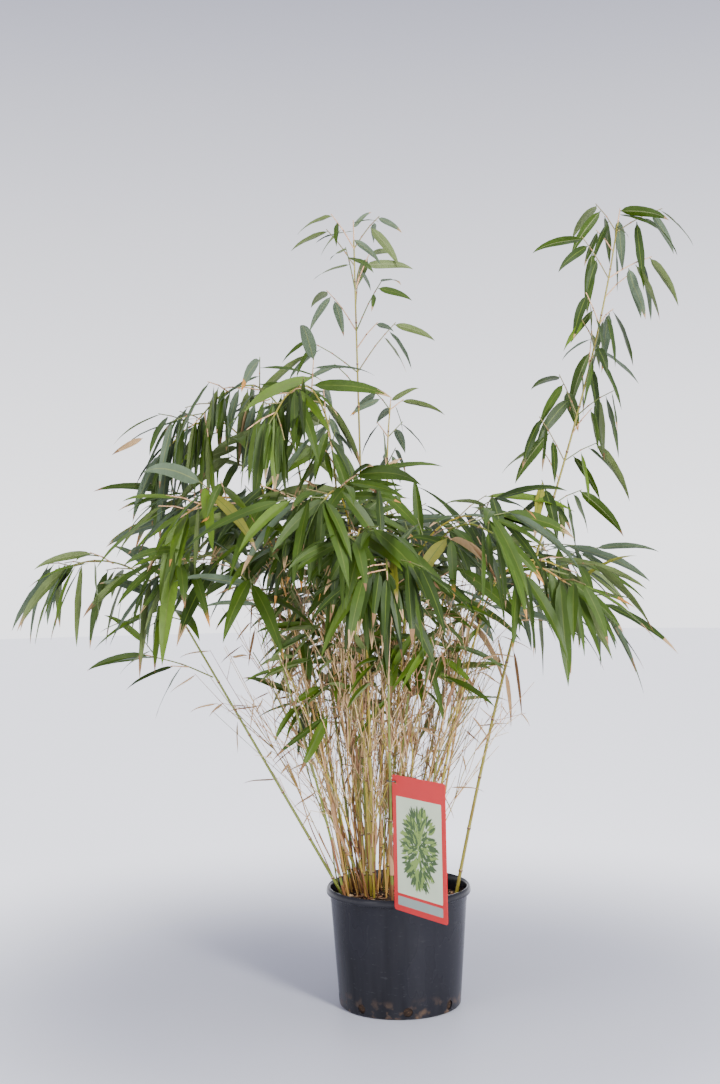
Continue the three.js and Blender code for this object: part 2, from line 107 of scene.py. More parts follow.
def add_node(tree, kind, inputs=None, **settings):
    """A shader node. Each input is given a value, or the socket that feeds it."""
    made = tree.nodes.new(kind)
    for key, value in settings.items():
        setattr(made, key, value)
    for key, value in (inputs or {}).items():
        if isinstance(value, bpy.types.NodeSocket):
            tree.links.new(value, made.inputs[key])
        else:
            made.inputs[key].default_value = value
    return made


def plain_finish(name, colour, roughness, specular=0.5):
    """A finish of one colour. Returns the material with its tree and its shader."""
    material = bpy.data.materials.new(name)
    material.use_nodes = True
    shader = material.node_tree.nodes["Principled BSDF"]
    shader.inputs["Base Color"].default_value = (*colour, 1)
    shader.inputs["Roughness"].default_value = roughness
    shader.inputs["Specular IOR Level"].default_value = specular
    return material, material.node_tree, shader


def make_mottle_group():
    """Soft patches on Object coordinates, stretched as asked: a mask from 0 to 1."""
    group = bpy.data.node_groups.new("mottle", "ShaderNodeTree")
    for name in ("Stretch", "Scale", "Detail", "Low", "High"):
        kind = "NodeSocketVector" if name == "Stretch" else "NodeSocketFloat"
        group.interface.new_socket(name, in_out="INPUT", socket_type=kind)
    group.interface.new_socket("Mask", in_out="OUTPUT", socket_type="NodeSocketFloat")
    entry = group.nodes.new("NodeGroupInput")
    place = add_node(group, "ShaderNodeTexCoord")
    stretch = add_node(group, "ShaderNodeVectorMath", {
        0: place.outputs["Object"], 1: entry.outputs["Stretch"],
    }, operation="MULTIPLY")
    patches = add_node(group, "ShaderNodeTexNoise", {
        "Vector": stretch.outputs[0], "Scale": entry.outputs["Scale"], "Detail": entry.outputs["Detail"],
    })
    spread = add_node(group, "ShaderNodeMapRange", {
        "Value": patches.outputs["Fac"], "From Min": entry.outputs["Low"], "From Max": entry.outputs["High"],
    })
    add_node(group, "NodeGroupOutput", {"Mask": spread.outputs[0]})
    return group


MOTTLE = make_mottle_group()


def mottle(tree, stretch, scale, detail, low, high):
    return add_node(tree, "ShaderNodeGroup", {
        "Stretch": stretch, "Scale": scale, "Detail": detail, "Low": low, "High": high,
    }, node_tree=MOTTLE).outputs["Mask"]


def mixed(tree, mask, one, other):
    """The one colour where the mask is 0 and the other where it is 1."""
    one, other = ((*colour, 1) if isinstance(colour, tuple) else colour for colour in (one, other))
    return add_node(tree, "ShaderNodeMix", {0: mask, 6: one, 7: other}, data_type="RGBA").outputs[2]


def shaded(colour, share):
    return tuple(share * part for part in colour)


def between_values(tree, mask, low, high):
    spread = add_node(tree, "ShaderNodeMapRange", {"Value": mask, "To Min": low, "To Max": high})
    return spread.outputs[0]


def raised(tree, shader, mask, strength, distance):
    bump = add_node(tree, "ShaderNodeBump", {"Height": mask, "Strength": strength, "Distance": distance})
    tree.links.new(bump.outputs["Normal"], shader.inputs["Normal"])


def pot_finish():
    """Satin charcoal plastic with flow streaks up the wall, scuffs, and soil dried on near the foot."""
    charcoal = (0.011, 0.011, 0.014)
    material, tree, shader = plain_finish("pot_plastic", charcoal, 0.25, 0.18)
    streaks = mottle(tree, (1, 1, 0.04), 70, 3, 0.35, 0.7)
    cloudy = mottle(tree, (1, 1, 0.4), 16, 3, 0.4, 0.65)
    scuffs = mottle(tree, (1, 1, 3), 120, 6, 0.62, 0.72)
    place = add_node(tree, "ShaderNodeTexCoord")
    height = add_node(tree, "ShaderNodeSeparateXYZ", {0: place.outputs["Object"]}).outputs[2]
    low_down = add_node(tree, "ShaderNodeMapRange", {"Value": height, "From Min": 0.03, "From Max": 0.002})
    specks = mottle(tree, (1, 1, 1), 60, 8, 0.5, 0.62)
    smeared = add_node(tree, "ShaderNodeMath", {0: low_down.outputs[0], 1: specks}, operation="MULTIPLY")
    body = mixed(tree, streaks, charcoal, (0.02, 0.02, 0.024))
    body = mixed(tree, cloudy, body, (0.016, 0.016, 0.021))
    body = mixed(tree, scuffs, body, (0.03, 0.03, 0.034))
    body = mixed(tree, smeared.outputs[0], body, (0.11, 0.07, 0.045))
    tree.links.new(body, shader.inputs["Base Color"])
    tree.links.new(between_values(tree, cloudy, 0.2, 0.3), shader.inputs["Roughness"])
    raised(tree, shader, streaks, 0.05, 0.0006)
    return material


# The half section, from the middle of the underside over the lip to the middle of the floor
pot_section = [
    (0, 0), (POT_FOOT_RADIUS - 3, 0), (POT_FOOT_RADIUS - 1.2, 0.5), (wall_radius(2), 2), (wall_radius(4), 4),
    (wall_radius(60), 60), (wall_radius(110), 110), (wall_radius(146), 146), (wall_radius(146) + 0.5, 147),
    (wall_radius(155), 154.6), (wall_radius(156) + 0.8, 155.8), (POT_LIP_RADIUS - 1.4, 156.8),
    (POT_LIP_RADIUS - 0.3, 158), (POT_LIP_RADIUS, 160), (POT_LIP_RADIUS - 0.4, 163.6),
    (POT_LIP_RADIUS - 1.2, 165.8), (POT_LIP_RADIUS - 2.8, POT_HEIGHT), (POT_NECK_RADIUS + 1.4, POT_HEIGHT),
    (POT_NECK_RADIUS + 0.2, 166.2), (POT_NECK_RADIUS - 0.8, 164), (POT_NECK_RADIUS - POT_WALL, 154),
    (wall_radius(80) - POT_WALL, 80), (wall_radius(5) - POT_WALL, 5),
    (wall_radius(3) - POT_WALL - 2, POT_FLOOR), (0, POT_FLOOR),
]
pot_form = bmesh.new()
rim = [pot_form.verts.new((radius, 0, height)) for radius, height in pot_section]
for one, other in zip(rim, rim[1:]):
    pot_form.edges.new((one, other))
pot = placed(spun(pot_form, POT_STEPS), "pot_shell", [pot_finish()])

plugs = bmesh.new()
for i in range(DRAIN_HOLES):
    turn = Matrix.Rotation(i * math.tau / DRAIN_HOLES + DRAIN_TURN, 4, "Z")
    lean = Matrix.Rotation(math.pi / 2, 4, "Y")
    place = turn @ Matrix.Translation((POT_FOOT_RADIUS, 0, DRAIN_RISE)) @ lean
    bmesh.ops.create_cone(plugs, cap_ends=True, segments=28, radius1=DRAIN_RADIUS, radius2=DRAIN_RADIUS,
                          depth=POT_WALL * 8, matrix=Matrix.Scale(MM, 4) @ place)
plug_piece = linked("drain_plugs", mesh_of(plugs, "drain_plugs"))
cut = pot.modifiers.new("drain_holes", "BOOLEAN")
cut.operation = "DIFFERENCE"
cut.object = plug_piece
holed = bpy.data.meshes.new_from_object(pot.evaluated_get(bpy.context.evaluated_depsgraph_get()))
pot.modifiers.clear()
pot.data = holed
bpy.data.objects.remove(plug_piece)
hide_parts("pot")


# Potting soil
# Dark peat with bits of bark and straw, pressed in by hand and settled a little under the rim. Its
# skin is a ring-wise mesh raised by noise, with loose crumbs and chips lying on it.
SOIL_TOP = 145
SOIL_GAP = 0.4
SOIL_SIDES = 120
SOIL_RINGS = 30
SOIL_HEAP = 12
SOIL_HEAP_REACH = 80


def soil_radius(height):
    return wall_radius(height) - POT_WALL - SOIL_GAP


def soil_height(x, y):
    """How high the soil's skin stands over its mean level: a low heap left of the middle, and clods."""
    clods = noise.fractal(Vector((x * 0.045, y * 0.045, 2.7)), 0.8, 2.2, 5)
    heaped = SOIL_HEAP * max(0, 1 - ((x + 20) ** 2 + y ** 2) / SOIL_HEAP_REACH ** 2)
    return heaped + 1.6 * noise.noise(Vector((x * 0.018, y * 0.018, 7.1))) + 1.5 * clods


def soil_finish():
    material, tree, shader = plain_finish("soil_peat", (0.03, 0.018, 0.011), 0.92, 0.3)
    clods = mottle(tree, (1, 1, 1), 90, 6, 0.4, 0.62)
    fibres = mottle(tree, (1, 3, 1), 420, 5, 0.56, 0.66)
    body = mixed(tree, clods, (0.018, 0.011, 0.008), (0.05, 0.029, 0.018))
    body = mixed(tree, fibres, body, (0.14, 0.08, 0.045))
    tree.links.new(body, shader.inputs["Base Color"])
    raised(tree, shader, clods, 0.6, 0.0015)
    return material


def only(kind, parts):
    """The corners, the edges or the faces among the parts that an operator made."""
    return [part for part in parts if isinstance(part, kind)]


soil_form = bmesh.new()
ring_radius = soil_radius(POT_FLOOR) - 2
bmesh.ops.create_circle(soil_form, cap_ends=True, segments=SOIL_SIDES, radius=ring_radius)
bmesh.ops.translate(soil_form, vec=(0, 0, POT_FLOOR + SOIL_GAP), verts=soil_form.verts)
ring = soil_form.edges[:]
soil_levels = [(soil_radius(6), 6), (soil_radius(SOIL_TOP), SOIL_TOP)]
soil_levels += [(soil_radius(SOIL_TOP) * (1 - i / SOIL_RINGS), SOIL_TOP) for i in range(1, SOIL_RINGS)]
for radius, height in soil_levels:
    grown = bmesh.ops.extrude_edge_only(soil_form, edges=ring)["geom"]
    ring, corners = only(bmesh.types.BMEdge, grown), only(bmesh.types.BMVert, grown)
    bmesh.ops.scale(soil_form, vec=(radius / ring_radius, radius / ring_radius, 1), verts=corners)
    bmesh.ops.translate(soil_form, vec=(0, 0, height - corners[0].co.z), verts=corners)
    ring_radius = radius
bmesh.ops.edgeloop_fill(soil_form, edges=ring)
bmesh.ops.recalc_face_normals(soil_form, faces=soil_form.faces)
for corner in soil_form.verts:
    if corner.co.z > SOIL_TOP - 1:
        corner.co.z += soil_height(corner.co.x, corner.co.y)
soil = placed(soil_form, "soil_fill", [soil_finish()], sharp=60)
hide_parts("soil")


def rows(vectors):
    return np.array([tuple(vector) for vector in vectors])


def as_arrays(form):
    """The corners and triangles of a small bmesh, so that many copies can be laid into one mesh."""
    bmesh.ops.triangulate(form, faces=form.faces)
    form.verts.index_update()
    corners = rows(corner.co for corner in form.verts)
    triangles = np.array([[corner.index for corner in face.verts] for face in form.faces])
    form.free()
    return corners, triangles


def joined(name, batches, finishes, sharp):
    """One piece from batches of copies. A batch is the corners of each copy in millimetres, the
    triangles of the form, and the finish of each triangle of each copy."""
    corners, faces, marks, first = [], [], [], 0
    for places, triangles, finish_of in batches:
        copies, size = places.shape[:2]
        corners.append(places.reshape(-1, 3))
        steps = first + np.arange(copies)[:, None, None] * size
        faces.append((triangles[None] + steps).reshape(-1, 3))
        marks.append(np.broadcast_to(finish_of, (copies, len(triangles))).ravel())
        first += copies * size
    corners, faces, marks = (np.concatenate(part) for part in (corners, faces, marks))
    mesh = bpy.data.meshes.new(name)
    mesh.vertices.add(len(corners))
    mesh.vertices.foreach_set("co", (corners * MM).ravel())
    mesh.loops.add(faces.size)
    mesh.loops.foreach_set("vertex_index", faces.ravel())
    mesh.polygons.add(len(faces))
    mesh.polygons.foreach_set("loop_start", np.arange(len(faces)) * 3)
    mesh.polygons.foreach_set("material_index", marks)
    mesh.update(calc_edges=True)
    return piece_of(mesh, finishes, sharp)


def plain_finishes(colours, roughness):
    return [plain_finish(name, colour, roughness, 0.3)[0] for name, colour in colours.items()]


def turn_matrices(dice, count, tumble):
    """Random turns: all round the upright, and tipped by up to so many degrees."""
    turns = []
    for _ in range(count):
        tip = Matrix.Rotation(math.radians(dice.uniform(-tumble, tumble)), 3, "X")
        roll = Matrix.Rotation(math.radians(dice.uniform(-tumble, tumble)), 3, "Y")
        turns.append(Matrix.Rotation(dice.uniform(0, math.tau), 3, "Z") @ tip @ roll)
    return np.array([rows(turn) for turn in turns])


CRUMB_FORMS = 5
CRUMBS_EACH = 230
CRUMB_SPREAD = 91
CRUMB_TUMBLE = 24
CRUMB_SPAN = (0.7, 2.6)
CRUMB_SIZE = [1.2, 1, 0.8]
CHIP_SIZE = [2.6, 1.3, 0.5]
crumb_colours = {
    "crumb_peat": (0.03, 0.017, 0.011), "crumb_bark": (0.16, 0.065, 0.032),
    "crumb_wood": (0.3, 0.15, 0.08), "crumb_straw": (0.48, 0.32, 0.18),
}
dice = np.random.default_rng(31)
crumb_batches = []
for _ in range(CRUMB_FORMS):
    crumb = bmesh.new()
    bmesh.ops.create_icosphere(crumb, subdivisions=1, radius=1)
    for corner in crumb.verts:
        corner.co *= dice.uniform(0.65, 1.25)
    crumb_corners, crumb_triangles = as_arrays(crumb)
    reach = CRUMB_SPREAD * np.sqrt(dice.uniform(0, 1, CRUMBS_EACH))
    bearing = dice.uniform(0, math.tau, CRUMBS_EACH)
    span = dice.uniform(*CRUMB_SPAN, CRUMBS_EACH)
    chip = dice.uniform(0, 1, CRUMBS_EACH) < 0.5
    sizes = np.where(chip[:, None], CHIP_SIZE, CRUMB_SIZE) * span[:, None]
    across, deep = reach * np.cos(bearing), reach * np.sin(bearing)
    level = np.array([SOIL_TOP + soil_height(x, y) for x, y in zip(across, deep)])
    places = np.stack([across, deep, level + sizes[:, 2] * 0.4], 1)
    turns = turn_matrices(dice, CRUMBS_EACH, CRUMB_TUMBLE)
    shapes = np.einsum("nij,nkj->nki", turns, crumb_corners[None] * sizes[:, None]) + places[:, None]
    tint = np.where(chip, dice.integers(1, 4, CRUMBS_EACH), 0)
    crumb_batches.append((shapes, crumb_triangles, tint[:, None]))
crumbs = joined("soil_crumbs", crumb_batches, plain_finishes(crumb_colours, 0.9), sharp=25)


# Canes
# Thin bamboo canes rise from the soil in a fan and pass into leafy tops. Each is a smooth tube with a
# ridge at every node, olive to straw in colour, and some nodes still wear their dry papery sheath.
CLUMP = Vector((-32, 0, 0))
CANE_TAPER = 0.62
CANE_BOW = 0.06
CANE_SPACING = 7
STEP_ASIDE = 4
START_GAP = 0.3
BEND_LATE = 1.8
STEM_END_RADIUS = 1.4
TWIG_RADIUS = 1.05
RING_FOOT = 0.3
RING_FALL = 0.35
RING_SEED = 11
RING_TURN_WOBBLE = 9
RING_REACH_WOBBLE = 0.14
TOP_SEED = 500
SIDE_SEED = 900
SEED_STEP = 31
UP = Vector((0, 0, 1))

UPRIGHT = {"pitch": 80, "twins": 2, "leaves": 3, "hang": 70, "loose": 0.4, "breadth": 0.19}
ARCHING = {"joints": 5, "pitch": -30, "twins": 1, "twig": 58, "leaves": 4, "leaf": 112, "hang": 38,
           "loose": 0.85, "breadth": 0.145}
HIGH = ARCHING | {"pitch": -45, "twins": 2, "leaf": 98, "hang": 64, "loose": 0.4}
SPREADING = {"joints": 5, "pitch": -8, "twins": 1, "twig": 62, "leaves": 3, "leaf": 118, "hang": 22,
             "loose": 0.85, "breadth": 0.125}

# Each leading cane: name, foot, tip, radius, the heading and the growth of its leafy top
LEADING_CANES = [
    ("right_tall", (80, -6), (208, -10, 650), 2.9, -3,
     UPRIGHT | {"stem": 464, "joints": 7, "leaves": 4, "twig": 62, "leaf": 77, "hang": 86}),
    ("middle_tall", (-38, 22), (-46, 24, 850), 2.6, 110,
     UPRIGHT | {"stem": 238, "joints": 4, "pitch": 88, "twig": 84, "leaf": 60, "hang": 58}),
    ("middle_short", (-12, 30), (-6, 60, 735), 2, 30,
     UPRIGHT | {"stem": 120, "joints": 3, "pitch": 84, "leaves": 2, "leaf": 58, "twig": 34}),
    ("far_left", (-74, -8), (-290, -30, 535), 2.6, 183,
     ARCHING | {"stem": 212, "pitch": -12, "leaf": 104, "twig": 44}),
    ("high_left", (-60, 14), (-132, 12, 755), 2.6, 200, HIGH | {"stem": 240, "twig": 48}),
    ("high_centre", (-46, -22), (-80, -48, 745), 2.4, 235, HIGH | {"stem": 230, "twig": 46}),
    ("outer_left", (-70, 30), (-188, 45, 735), 2.4, 176, ARCHING | {"stem": 205, "pitch": -42, "hang": 44}),
    ("low_left", (-74, -30), (-175, -90, 545), 2.2, 195, ARCHING | {"stem": 200, "hang": 34}),
    ("right_fan", (30, -20), (118, -40, 540), 2.4, -8, SPREADING | {"stem": 165, "pitch": -20}),
    ("right_low", (45, 25), (120, 75, 510), 2.2, 15, SPREADING | {"stem": 215}),
    ("front", (-10, -62), (-13, -158, 560), 2.3, 270, ARCHING | {"stem": 150, "leaf": 100}),
]
# Each ring: name, count, reach across and deep, height and its spread, radius, first heading, growth
CANE_RINGS = [
    ("inner", 4, (55, 55), 552, 20, 2.2, 60, ARCHING | {"stem": 218, "pitch": 0}),
    ("middle", 5, (108, 95), 550, 35, 2.1, 20, ARCHING | {"stem": 235, "pitch": -15}),
    ("outer", 6, (150, 118), 560, 20, 2, 30, ARCHING | {"stem": 205, "pitch": -28, "hang": 36}),
]
# Each side spray: name, the cane that bears it, how far up, heading, pitch, growth
SIDE_SPRAYS = [
    ("far_left_low", "far_left", 0.82, 175, 26,
     ARCHING | {"stem": 95, "joints": 2, "pitch": 15, "leaves": 2, "twig": 26, "leaf": 78, "hang": 45}),
    ("right_tall_low", "right_tall", 0.8, 5, 22,
     SPREADING | {"stem": 110, "joints": 3, "leaf": 105, "twig": 40}),
    ("left_small", "high_left", 0.46, 205, 25,
     ARCHING | {"stem": 45, "joints": 2, "leaves": 2, "twig": 20, "leaf": 74, "hang": 45}),
]


def random_from(seed):
    """The source's repeatable stream of numbers from 0 to 1."""
    state = seed

    def draw():
        nonlocal state
        state = (state + 0x6D2B79F5) & 0xFFFFFFFF
        t = ((state ^ (state >> 15)) * (1 | state)) & 0xFFFFFFFF
        t = ((t + ((t ^ (t >> 7)) * (61 | t) & 0xFFFFFFFF)) & 0xFFFFFFFF) ^ t
        return (t ^ (t >> 14)) / 4294967296

    return draw


def wobble(draw, spread):
    return (draw() * 2 - 1) * spread


def direction(heading, pitch):
    """The way at a heading round the pot and a pitch above level, both in degrees."""
    level = math.cos(math.radians(pitch))
    turn = math.radians(heading)
    return Vector((level * math.cos(turn), level * math.sin(turn), math.sin(math.radians(pitch))))


def cane_points(foot, tip, bow):
    """A cane's centre line, which leans out a little more towards its top."""
    root, end = Vector((*foot, SOIL_TOP + START_GAP)), Vector(tip)
    middle = Vector((
        root.x + (end.x - root.x) * (0.5 - bow), root.y + (end.y - root.y) * (0.5 - bow),
        root.z + (end.z - root.z) * (0.5 + bow),
    ))
    shares = [i / 200 for i in range(201)]
    return rows(root * (1 - t) ** 2 + middle * 2 * t * (1 - t) + end * t * t for t in shares)


def end_way(foot, tip, bow):
    """The way a cane runs at its tip."""
    root, end = Vector((*foot, SOIL_TOP + START_GAP)), Vector(tip)
    span = end - root
    return Vector((span.x * (0.5 + bow), span.y * (0.5 + bow), span.z * (0.5 - bow))).normalized()


def evenly(points, stations):
    """Points at those distances along a dense line."""
    lengths = np.concatenate([[0], np.cumsum(np.linalg.norm(np.diff(points, axis=0), axis=1))])
    return np.stack([np.interp(stations, lengths, points[:, i]) for i in range(3)], axis=1)


def point_at(points, distance):
    return evenly(points, np.array([distance]))[0]


def line_length(points):
    return float(np.linalg.norm(np.diff(points, axis=0), axis=1).sum())


def cane_gap(one, other):
    marks = [evenly(line, np.linspace(0, line_length(line), 41)) for line in (one, other)]
    return np.linalg.norm(marks[0][:, None] - marks[1][None], axis=2).min()


def new_cane(name, foot, tip, radius, heading, top, bow=CANE_BOW):
    return {"name": name, "line": cane_points(foot, tip, bow), "aim": end_way(foot, tip, bow),
            "radius": radius, "heading": heading, "top": top}


canes = []
for name, *shape in LEADING_CANES:
    canes.append(new_cane(name, *shape, bow=0 if name == "far_left" else CANE_BOW))
for number, (ring_name, count, reach, height, rise, radius, start, top) in enumerate(CANE_RINGS):
    draw = random_from(RING_SEED + number)
    for i in range(count):
        heading = start + i * 360 / count + wobble(draw, RING_TURN_WOBBLE)
        share = 1 + wobble(draw, RING_REACH_WOBBLE)
        lift = wobble(draw, rise)
        while True:
            way = direction(heading, 0)
            out = Vector((way.x * reach[0] * share, way.y * reach[1] * share, 0))
            foot = CLUMP + out * RING_FOOT
            tip = CLUMP + out + UP * (height - out.x * RING_FALL + lift)
            cane = new_cane(f"{ring_name}_{i + 1}", foot[:2], tip, radius, heading, top)
            if all(cane_gap(cane["line"], other["line"]) >= CANE_SPACING for other in canes):
                break
            heading += STEP_ASIDE
        canes.append(cane)


def stem_joints(start, aim, growth, heading):
    """The joints of a leafy stem, which turns from the way it starts to its final heading and pitch."""
    goal = direction(heading, growth["pitch"])
    joints = [start]
    for i in range(growth["joints"]):
        share = ((i + 1) / growth["joints"]) ** BEND_LATE
        joints.append(joints[-1] + aim.lerp(goal, share).normalized() * (growth["stem"] / growth["joints"]))
    return joints


def tangent_at(points, share):
    """The way a line runs at a share of its length."""
    length = line_length(points)
    near = evenly(points, np.array([max(share * length - 1, 0), min(share * length + 1, length)]))
    return Vector(near[1] - near[0]).normalized()


# The stem of this one spray would touch another, so it stands a step further round
TURNED_STEMS = {"outer_1": 4}
sprays = []
for number, cane in enumerate(canes):
    aim = cane["aim"]
    start = Vector(cane["line"][-1]) + aim * START_GAP
    heading = cane["heading"] + TURNED_STEMS.get(cane["name"], 0)
    sprays.append({
        "name": cane["name"], "growth": cane["top"], "seed": TOP_SEED + number * SEED_STEP,
        "joints": stem_joints(start, aim, cane["top"], heading),
    })
    cane["stem"] = sprays[-1]
for number, (name, bearer, share, heading, pitch, growth) in enumerate(SIDE_SPRAYS):
    cane = next(cane for cane in canes if cane["name"] == bearer)
    aim = direction(heading, pitch)
    opening = aim.angle(tangent_at(cane["line"], share))
    cane_radius = cane["radius"] * (1 + (CANE_TAPER - 1) * share)
    cover = cane_radius + START_GAP * 2 + TWIG_RADIUS * math.cos(opening)
    start = Vector(point_at(cane["line"], share * line_length(cane["line"])))
    start += aim * (cover / math.sin(opening))
    sprays.append({
        "name": name, "growth": growth, "seed": SIDE_SEED + number * SEED_STEP,
        "joints": stem_joints(start, aim, growth, heading),
    })


def smoothed(joints, steps):
    """A flowing line through joints."""
    ends = [joints[0] * 2 - joints[1], *joints, joints[-1] * 2 - joints[-2]]
    line = [joints[0]]
    for before, one, other, after in zip(ends, ends[1:], ends[2:], ends[3:]):
        for step in range(1, steps + 1):
            t = step / steps
            line.append(0.5 * (
                one * 2 + (other - before) * t + (before * 2 - one * 5 + other * 4 - after) * t * t
                + (one * 3 - before - other * 3 + after) * t ** 3
            ))
    return rows(line)


STEM_STEPS = 8


def smooth_stem(joints):
    """A stem's flowing line, and how far along it each inner joint lies."""
    line = smoothed(joints, STEM_STEPS)
    return line, [line_length(line[:STEM_STEPS * i + 1]) for i in range(1, len(joints) - 1)]


tube_forms = {}


def tube_form(sides, rings):
    """A closed tube of unit radius, one unit from ring to ring, made by raising a round face."""
    if (sides, rings) not in tube_forms:
        form = bmesh.new()
        bmesh.ops.create_circle(form, cap_ends=True, segments=sides, radius=1)
        face = form.faces[:][0]
        for _ in range(rings - 1):
            face = only(bmesh.types.BMFace, bmesh.ops.extrude_face_region(form, geom=[face])["geom"])[0]
            bmesh.ops.translate(form, vec=(0, 0, 1), verts=face.verts)
        inner = [part for part in form.faces
                 if len(part.verts) == sides and 0.5 < part.calc_center_median().z < rings - 1.5]
        bmesh.ops.delete(form, geom=inner, context="FACES_ONLY")
        bmesh.ops.recalc_face_normals(form, faces=form.faces)
        tube_forms[sides, rings] = as_arrays(form)
    return tube_forms[sides, rings]


def tube(points, stations, radii, sides, marks):
    """A tube laid along a line, as a batch. A triangle's finish is the mark of the ring below it."""
    corners, triangles = tube_form(sides, len(stations))
    centres = evenly(points, np.array(stations))
    ways = np.gradient(centres, axis=0)
    ways /= np.linalg.norm(ways, axis=1)[:, None]
    across = np.cross(ways[0], [0.31, 0.95, 0.05])
    sides_on, faces_on = [], []
    for way in ways:
        across = across - way * np.dot(across, way)
        across /= np.linalg.norm(across)
        sides_on.append(across)
        faces_on.append(np.cross(way, across))
    ring_of = np.rint(corners[:, 2]).astype(int)
    reach = np.asarray(radii)[ring_of, None]
    shape = (centres[ring_of] + np.array(sides_on)[ring_of] * corners[:, :1] * reach
             + np.array(faces_on)[ring_of] * corners[:, 1:2] * reach)
    below = np.minimum(ring_of[triangles].min(axis=1), len(marks) - 1)
    return shape[None], triangles, np.array(marks)[below][None]


cane_colours = {
    "olive": (0.23, 0.2, 0.02), "yellow": (0.37, 0.29, 0.028), "green": (0.15, 0.18, 0.02),
    "straw": (0.39, 0.22, 0.05), "node": (0.11, 0.045, 0.018), "bloom": (0.38, 0.3, 0.1),
    "rust": (0.2, 0.085, 0.03),
}
OLIVE, YELLOW, GREEN, STRAW, NODE, BLOOM, RUST = range(len(cane_colours))
CANE_TINTS = [OLIVE, OLIVE, YELLOW, YELLOW, GREEN, STRAW]
OWN_TINTS = {"far_left": GREEN, "right_tall": OLIVE, "middle_tall": OLIVE}
# Where rings lie round a node, how far the cane swells there, and its finish if it isn't the cane's
NODE_RINGS = [(-5, 1, None), (-2.2, 0.98, None), (-0.9, 1.1, None), (-0.2, 1.34, NODE), (0.5, 1.18, NODE),
              (1.3, 1.3, NODE), (2.4, 1.06, BLOOM), (5, 1, None)]
NODE_SWELL = 1.1
NODE_CLEAR = 6
NODE_SPACING = 78
FOOT_SPACES = (0.45, 0.7, 0.9)
LAST_NODE_DROP = 2
BETWEEN_NODES = 4
RUST_REACH = 120
CANE_SLIM = 0.86
STEM_SLIM = 0.8


def cane_finish(name, colour):
    """Waxy rind with fine lengthwise streaks and a little brown mottling."""
    material, tree, shader = plain_finish(f"cane_{name}", colour, 0.42)
    streaks = mottle(tree, (1, 1, 0.06), 900, 3, 0.4, 0.62)
    patches = mottle(tree, (1, 1, 0.5), 60, 4, 0.55, 0.72)
    body = mixed(tree, streaks, shaded(colour, 0.86), shaded(colour, 1.14))
    body = mixed(tree, patches, body, (colour[0] * 0.9, colour[1] * 0.68, colour[2] * 0.62))
    tree.links.new(body, shader.inputs["Base Color"])
    return material


def culm(line, nodes, root_radius, end_radius, sides, tint, foot_tint):
    """A cane with its nodes. Its foot has a finish of its own."""
    length = line_length(line)
    stops = [0.0, *nodes, length]
    stations, swell, marks = [0.0], [1.0], []
    for low, high in zip(stops, stops[1:]):
        for i in range(1, BETWEEN_NODES + 1):
            stations.append(low + NODE_CLEAR + (high - low - 2 * NODE_CLEAR) * i / (BETWEEN_NODES + 1))
            swell.append(1)
            marks.append(tint if stations[-1] > RUST_REACH else foot_tint)
        if high < length:
            for offset, size, own in NODE_RINGS:
                stations.append(high + offset)
                swell.append(1 + (size - 1) * NODE_SWELL)
                marks.append(tint if own is None else own)
    radii = np.interp([*stations, length], [0, length], [root_radius, end_radius]) * [*swell, 1]
    return tube(line, [*stations, length], radii, sides, [*marks, tint])


dice = np.random.default_rng(77)
cane_batches = []
for number, cane in enumerate(canes):
    length = line_length(cane["line"])
    count = round(length / NODE_SPACING)
    spacing = np.array([*FOOT_SPACES, *[1] * (count - 3)]) * dice.uniform(0.9, 1.1, count)
    cane["nodes"] = np.cumsum(spacing)[:-1] / spacing.sum() * length
    stem, joint_marks = smooth_stem(cane["stem"]["joints"])
    whole = np.concatenate([cane["line"][:-1], stem])
    tint = OWN_TINTS.get(cane["name"], int(dice.choice(CANE_TINTS)))
    nodes = [*cane["nodes"], length - LAST_NODE_DROP, *(length + mark for mark in joint_marks)]
    cane_batches.append(culm(whole, nodes, cane["radius"] * CANE_SLIM, STEM_END_RADIUS * STEM_SLIM, 10, tint,
                             (tint, RUST, STRAW)[number % 3]))
for spray in sprays[len(canes):]:
    stem, joint_marks = smooth_stem(spray["joints"])
    cane_batches.append(culm(stem, joint_marks, TWIG_RADIUS * 1.1, TWIG_RADIUS * STEM_SLIM, 8, GREEN, GREEN))
cane_finishes = [cane_finish(name, colour) for name, colour in cane_colours.items()]
culms = joined("culms", cane_batches, cane_finishes, sharp=70)
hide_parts(*[f"cane_{cane['name']}" for cane in canes])


# Leafy tops
# Twigs part from the stems at every joint and carry long drooping leaves, by the rule of the packed
# solids. A second growth between the joints, on finer twigs with smaller leaves, fills the same reach.
TWIG_DROP = 0.2
TWIG_TURN = 0.382
TWIG_OPENING = 46
LAST_TWIG_SHARE = 0.4
TWIG_END_RADIUS = 0.85
LEAF_ROOT = 4
LEAF_SPACING = 12
LEAF_BELLY = 0.36
LEAF_DROOP = 18
LEAF_ROLL = 1.1
LEAF_FACING = 0.9
FIRST_LEAF_OPENING = 8
LEAF_OPENING = 30
LEAF_OPENING_STEP = 6
STEEPEST = -84
FINE_DROP = 0.62
OWN_SPACE = 45
LEAF_WOBBLE = 0.27
LEAF_TURN_WOBBLE = 8
TWIG_WOBBLE = 0.25
TWIG_TURN_WOBBLE = 0.5
TWIG_OPENING_WOBBLE = 12
FINE_SIZE = 0.8
FINE_SEED_STEP = 7


def hanging(way, drop):
    """The same heading, turned down by so many degrees, though never quite plumb."""
    pitch = math.degrees(math.asin(max(-1, min(1, way.z))))
    return direction(math.degrees(math.atan2(way.y, way.x)), max(pitch - drop, STEEPEST))


def between(way, other, angle):
    return way * math.cos(angle) + other * math.sin(angle)


